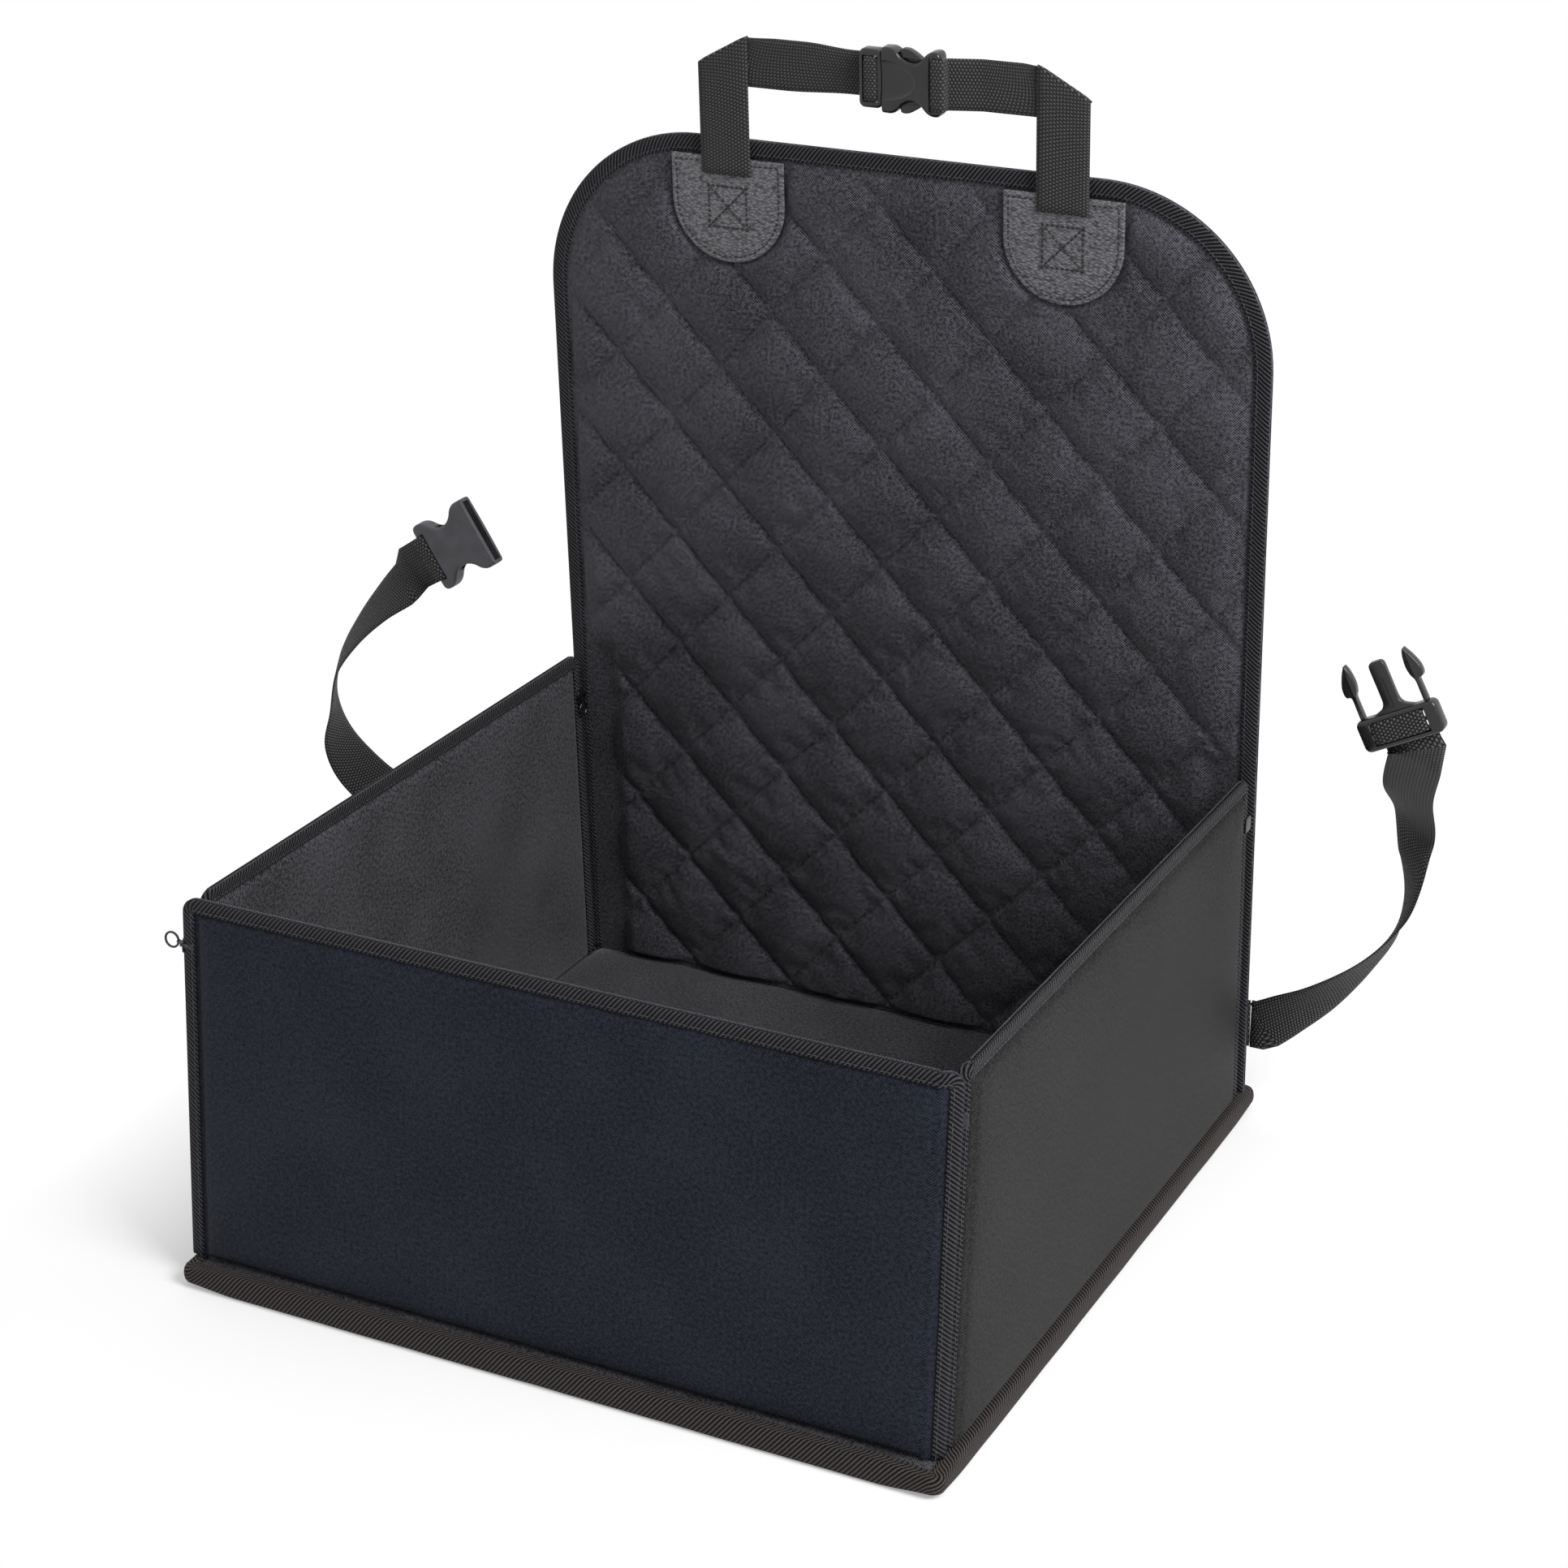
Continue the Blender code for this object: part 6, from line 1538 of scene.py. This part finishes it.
def dress_zips():
    """Four corner zips. Each row: name, side wall's panel, its edge's two ends, the way off it,
    the neighbour's panel, which of its ends, and whether the pull is outside."""
    rows = [("front_right_zip", RIGHT_PANEL, (FRONT_LOW, FRONT_HIGH), -1, FRONT_PANEL, 1, "front", False),
            ("rear_right_zip", RIGHT_PANEL, (BACK_LOW, BACK_HIGH), 1, BACK_PANEL, -1, "back", False),
            ("front_left_zip", LEFT_PANEL, (-FRONT_LOW, -FRONT_HIGH), 1, FRONT_PANEL, -1, "front", True),
            ("rear_left_zip", LEFT_PANEL, (-BACK_LOW, -BACK_HIGH), -1, BACK_PANEL, 1, "back", False)]
    for name, panel, (low, high), outward, other, end_sign, word, outside in rows:
        start, end = np.array([low, 0.0]), np.array([high, WALL_HEIGHT])
        along = unit(end - start)
        ends = np.array([start + along * CHAIN_END, end - along * CHAIN_END])
        side = panel.stand(np.column_stack([ends, [MIDDLE] * 2]))
        heights = np.array([CHAIN_END, WALL_HEIGHT - CHAIN_END])
        if word == "front" and not outside:
            x, z = end_sign * FOOT_WIDTH / 2, MIDDLE
        else:
            x, z = end_sign * (FOOT_WIDTH - WALL_THICKNESS) / 2, MIDDLE - FLANGE_HALF - SEAM_GAP
        far = other.stand(np.column_stack([np.full(2, x), heights, np.full(2, z)]))
        off = unit(far.mean(0) - side.mean(0))
        normal = unit(np.cross(side[1] - side[0], off))
        reach = max(0.0, np.linalg.norm(far.mean(0) - side.mean(0)) / 2 - COIL_REST)
        coil_teeth(f"{name}_side_coil", side[0] + off * reach, side[1] + off * reach, off, normal, 0.0,
                   f"{name}_side_chain", panel.name)
        coil_teeth(f"{name}_{word}_coil", far[0] - off * reach, far[1] - off * reach, -off, normal, 0.5 / 124,
                   f"{name}_{word}_chain", other.name)
        spot = end - along * SLIDER_TOP_DROP
        dress_slider(name, panel, spot, math.atan2(-along[0], along[1]), outward, outside)


def dress_slider(name, panel, spot, tilt, outward, outside):
    """Two rounded plates on a post, a bail over one of them, and the pull with its ring."""
    local = inside(GROUND, (spot[0], spot[1], MIDDLE), about("Z", tilt))
    local = inside(local, LEFT_PULL_SHIFT if outside else (0, 0, 0))

    def seat(part, place=local):
        """A part put on the slider's place, and from there on the wall."""
        points, faces, uv = placed(part, place)
        return panel.stand(points), faces, uv

    nose = (ZIP_GAP - CHAIN_WIDTH - 2 * SEAM_GAP) * outward
    tail = nose - SLIDER_WIDTH * outward
    wide, tall = SLIDER_WIDTH / 2, SLIDER_LENGTH / 2
    shares = [(0.55, -1), (0.82, -0.93), (0.97, -0.7), (1.0, -0.3), (0.98, 0.2), (0.86, 0.62), (0.62, 0.93),
              (0.35, 1.0)]
    half = np.array([(a * wide, b * tall) for a, b in shares])
    outline = np.vstack([half, half[::-1] * [-1, 1]]) + [(nose + tail) / 2, 0]
    gap = FLANGE_HALF + SEAM_GAP
    post = sorted((nose, (CHAIN_WIDTH + 2 * SEAM_GAP) * outward))
    reach = gap + SLIDER_PLATE / 2
    parts = [moulded_slab(outline, gap, gap + SLIDER_PLATE, SLIDER_ROUND, SLIDER_CROWN),
             moulded_slab(outline, -gap - SLIDER_PLATE, -gap, SLIDER_ROUND, SLIDER_CROWN),
             block((post[0], -BAIL, -reach), (post[1], BAIL, reach))]
    face = 1 if outside else -1
    pivot_x = tail + (PULL_WIDTH / 2 + 2 * BAIL) * outward
    height = gap + SLIDER_PLATE + SEAM_GAP + PULL_THICKNESS / 2
    for side in (-1, 1):
        inner = PULL_WIDTH / 2 + SEAM_GAP
        x = sorted((pivot_x + side * inner, pivot_x + side * (inner + BAIL)))
        z = sorted((face * (gap + SLIDER_PLATE / 2), face * (height + PULL_THICKNESS / 2 + BAIL / 2)))
        parts.append(block((x[0], -BAIL, z[0]), (x[1], BAIL, z[1])))
    parts = [seat(part) for part in parts]
    made = make_piece(f"{name}_slider_body", parts, ZINC, f"{name}_slider")
    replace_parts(made, f"{name}_slider")
    finish_moulding(made, 0.0002)

    hinge = inside(local, (pivot_x, 0, face * height), about("X", -RIGHT_ANGLE if outside else 0))
    half_w, tip = PULL_WIDTH / 2, PULL_WIDTH / 2 * 0.6
    root = (half_w * 0.9, -0.0002)
    far_root = (-root[0], root[1])
    corners = [far_root, (-tip, -PULL_TAB), (tip, -PULL_TAB), root, (0, 0), far_root]
    outline = round_turns(corners, TAB_ROUND, 4)[1:-1]
    tab = moulded_slab(outline, -PULL_THICKNESS / 2, PULL_THICKNESS / 2, SLIDER_ROUND)
    angle = np.linspace(0, 2 * math.pi, 40, endpoint=False)
    ring = np.column_stack([RING_RADIUS * np.cos(angle), RING_RADIUS * np.sin(angle), 0 * angle])
    if outside:
        ring = ring @ about("Y", RIGHT_ANGLE).T
    wire = wire_ring(ring + [0, RING_WIRE - PULL_TAB - RING_RADIUS, 0], RING_WIRE)
    parts = [seat(tab, hinge), seat(wire, hinge)]
    made = make_piece(f"{name}_pull_ring", parts, ZINC, f"{name}_pull")
    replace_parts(made, f"{name}_pull")


# Solids that stay

def finish_solids():
    """The boards and the foam inside keep their solids and get their own finish."""
    boards = [f"{name}_board" for name in ("base", "front_wall", "left_wall", "right_wall", "backrest")]
    for node, material in [(board, BOARD) for board in boards] + [("base_foam", FOAM)]:
        for material_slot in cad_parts[node].material_slots:
            material_slot.material = material


# Stage

# Each lamp: its name, place, aim, width and power
LAMPS = [("key_softbox", (1.7, -0.55, 1.75), (0, 0.1, 0.3), 1.1, 56),
         ("fill_softbox", (-1.8, -1.4, 1.3), (0, 0, 0.2), 1.4, 3),
         ("top_softbox", (0.2, 0.6, 2.4), (0, 0, 0.2), 1.8, 6)]
CAMERA_PLACE, CAMERA_LENS = (0.8019, -1.5438, 0.9992), 79.39
CAMERA_TURN, CAMERA_DIP = math.radians(26.69), math.radians(23.18)
FLOOR_SIZE, FLOOR_DROP, WORLD_LIGHT = 14, 0.0004, 0.47
# The floor's own white starts at a share of this much and is whole at the second distance
GLOW_NEAR, GLOW_FAR, GLOW_LEAST = 0.235, 0.37, 0.3


def softbox(name, spot, target, size, power):
    """A square lamp that faces its aim."""
    data = bpy.data.lights.new(name, "AREA")
    data.size = size
    data.energy = power
    lamp = bpy.data.objects.new(name, data)
    lamp.location = spot
    lamp.rotation_euler = (Vector(spot) - Vector(target)).to_track_quat("Z", "Y").to_euler()
    bpy.context.scene.collection.objects.link(lamp)


def largest(tree, *values):
    """The largest of the values."""
    most = values[0]
    for value in values[1:]:
        most = maths(tree, "MAXIMUM", most, value)
    return most


def set_floor():
    """A pale floor that keeps the shadow under the seat; away from it the camera and reflections
    see plain white, by a share that grows with the larger of the distances along X and Y."""
    material, tree, shader = new_material("matt_white_floor")
    shader.inputs["Base Color"].default_value = linear("#FDFDFD")
    shader.inputs["Roughness"].default_value = 0.9
    path = add(tree, "LightPath").outputs
    glow = add(tree, "Emission", None, {"Color": linear("#FFFFFF"), "Strength": 1.0}).outputs[0]
    place = add(tree, "SeparateXYZ", None, {0: add(tree, "TexCoord").outputs["Object"]}).outputs
    away = largest(tree, maths(tree, "ABSOLUTE", place["X"]), maths(tree, "ABSOLUTE", place["Y"]))
    share = add(tree, "MapRange", None, {"Value": away, "From Min": GLOW_NEAR, "From Max": GLOW_FAR,
                                         "To Min": GLOW_LEAST, "To Max": 1.0}).outputs["Result"]
    share = maths(tree, "MULTIPLY", largest(tree, path["Is Camera Ray"], path["Is Glossy Ray"]), share)
    mixed = add(tree, "MixShader", None, {0: share, 1: shader.outputs[0], 2: glow})
    tree.links.new(mixed.outputs[0], tree.nodes["Material Output"].inputs["Surface"])
    mesh = bpy.data.meshes.new("floor")
    mesh.from_pydata([(FLOOR_SIZE * x, FLOOR_SIZE * y, 0) for x, y in QUARTERS], [], [(0, 1, 2, 3)])
    floor = bpy.data.objects.new("floor", mesh)
    mesh.materials.append(material)
    bpy.context.scene.collection.objects.link(floor)
    floor.location.z = -FLOOR_DROP


def set_world():
    """A white world for the camera and in reflections, and a dimmer one as light."""
    world = bpy.data.worlds.new("studio")
    bpy.context.scene.world = world
    world.use_nodes = True
    tree = world.node_tree
    tree.nodes.clear()
    path = add(tree, "LightPath").outputs
    seen = largest(tree, path["Is Camera Ray"], path["Is Glossy Ray"], path["Is Transmission Ray"])
    dim = add(tree, "Background", None, {"Color": linear("#FFFFFF"), "Strength": WORLD_LIGHT})
    bright = add(tree, "Background", None, {"Color": linear("#FFFFFF"), "Strength": 1.0})
    mixed = add(tree, "MixShader", None, {0: seen, 1: dim.outputs[0], 2: bright.outputs[0]})
    add(tree, "OutputWorld", None, {"Surface": mixed.outputs[0]})


def set_camera():
    """The camera at the photograph's angle: tipped down by its dip and turned about the upright."""
    data = bpy.data.cameras.new("camera")
    data.sensor_width = 36
    data.lens = CAMERA_LENS
    camera = bpy.data.objects.new("camera", data)
    camera.location = CAMERA_PLACE
    camera.rotation_euler = (RIGHT_ANGLE - CAMERA_DIP, 0, CAMERA_TURN)
    bpy.context.scene.collection.objects.link(camera)
    bpy.context.scene.camera = camera


set_floor()
set_world()
for lamp_row in LAMPS:
    softbox(*lamp_row)
bpy.context.scene.view_settings.view_transform = "Standard"
set_camera()
dress_walls()
dress_base()
dress_backrest()
dress_patches()
dress_loop()
dress_lap_strap("left", -1, LEFT_LAP_SPAN, LEFT_ROUTE_SHARES, LEFT_BUCKLE_PLACE, LEFT_BUCKLE_TURN,
                female_wrap)
dress_lap_strap("right", 1, RIGHT_LAP_SPAN, RIGHT_ROUTE_SHARES, RIGHT_BUCKLE_PLACE, RIGHT_BUCKLE_TURN,
                male_wrap)
dress_zips()
finish_solids()
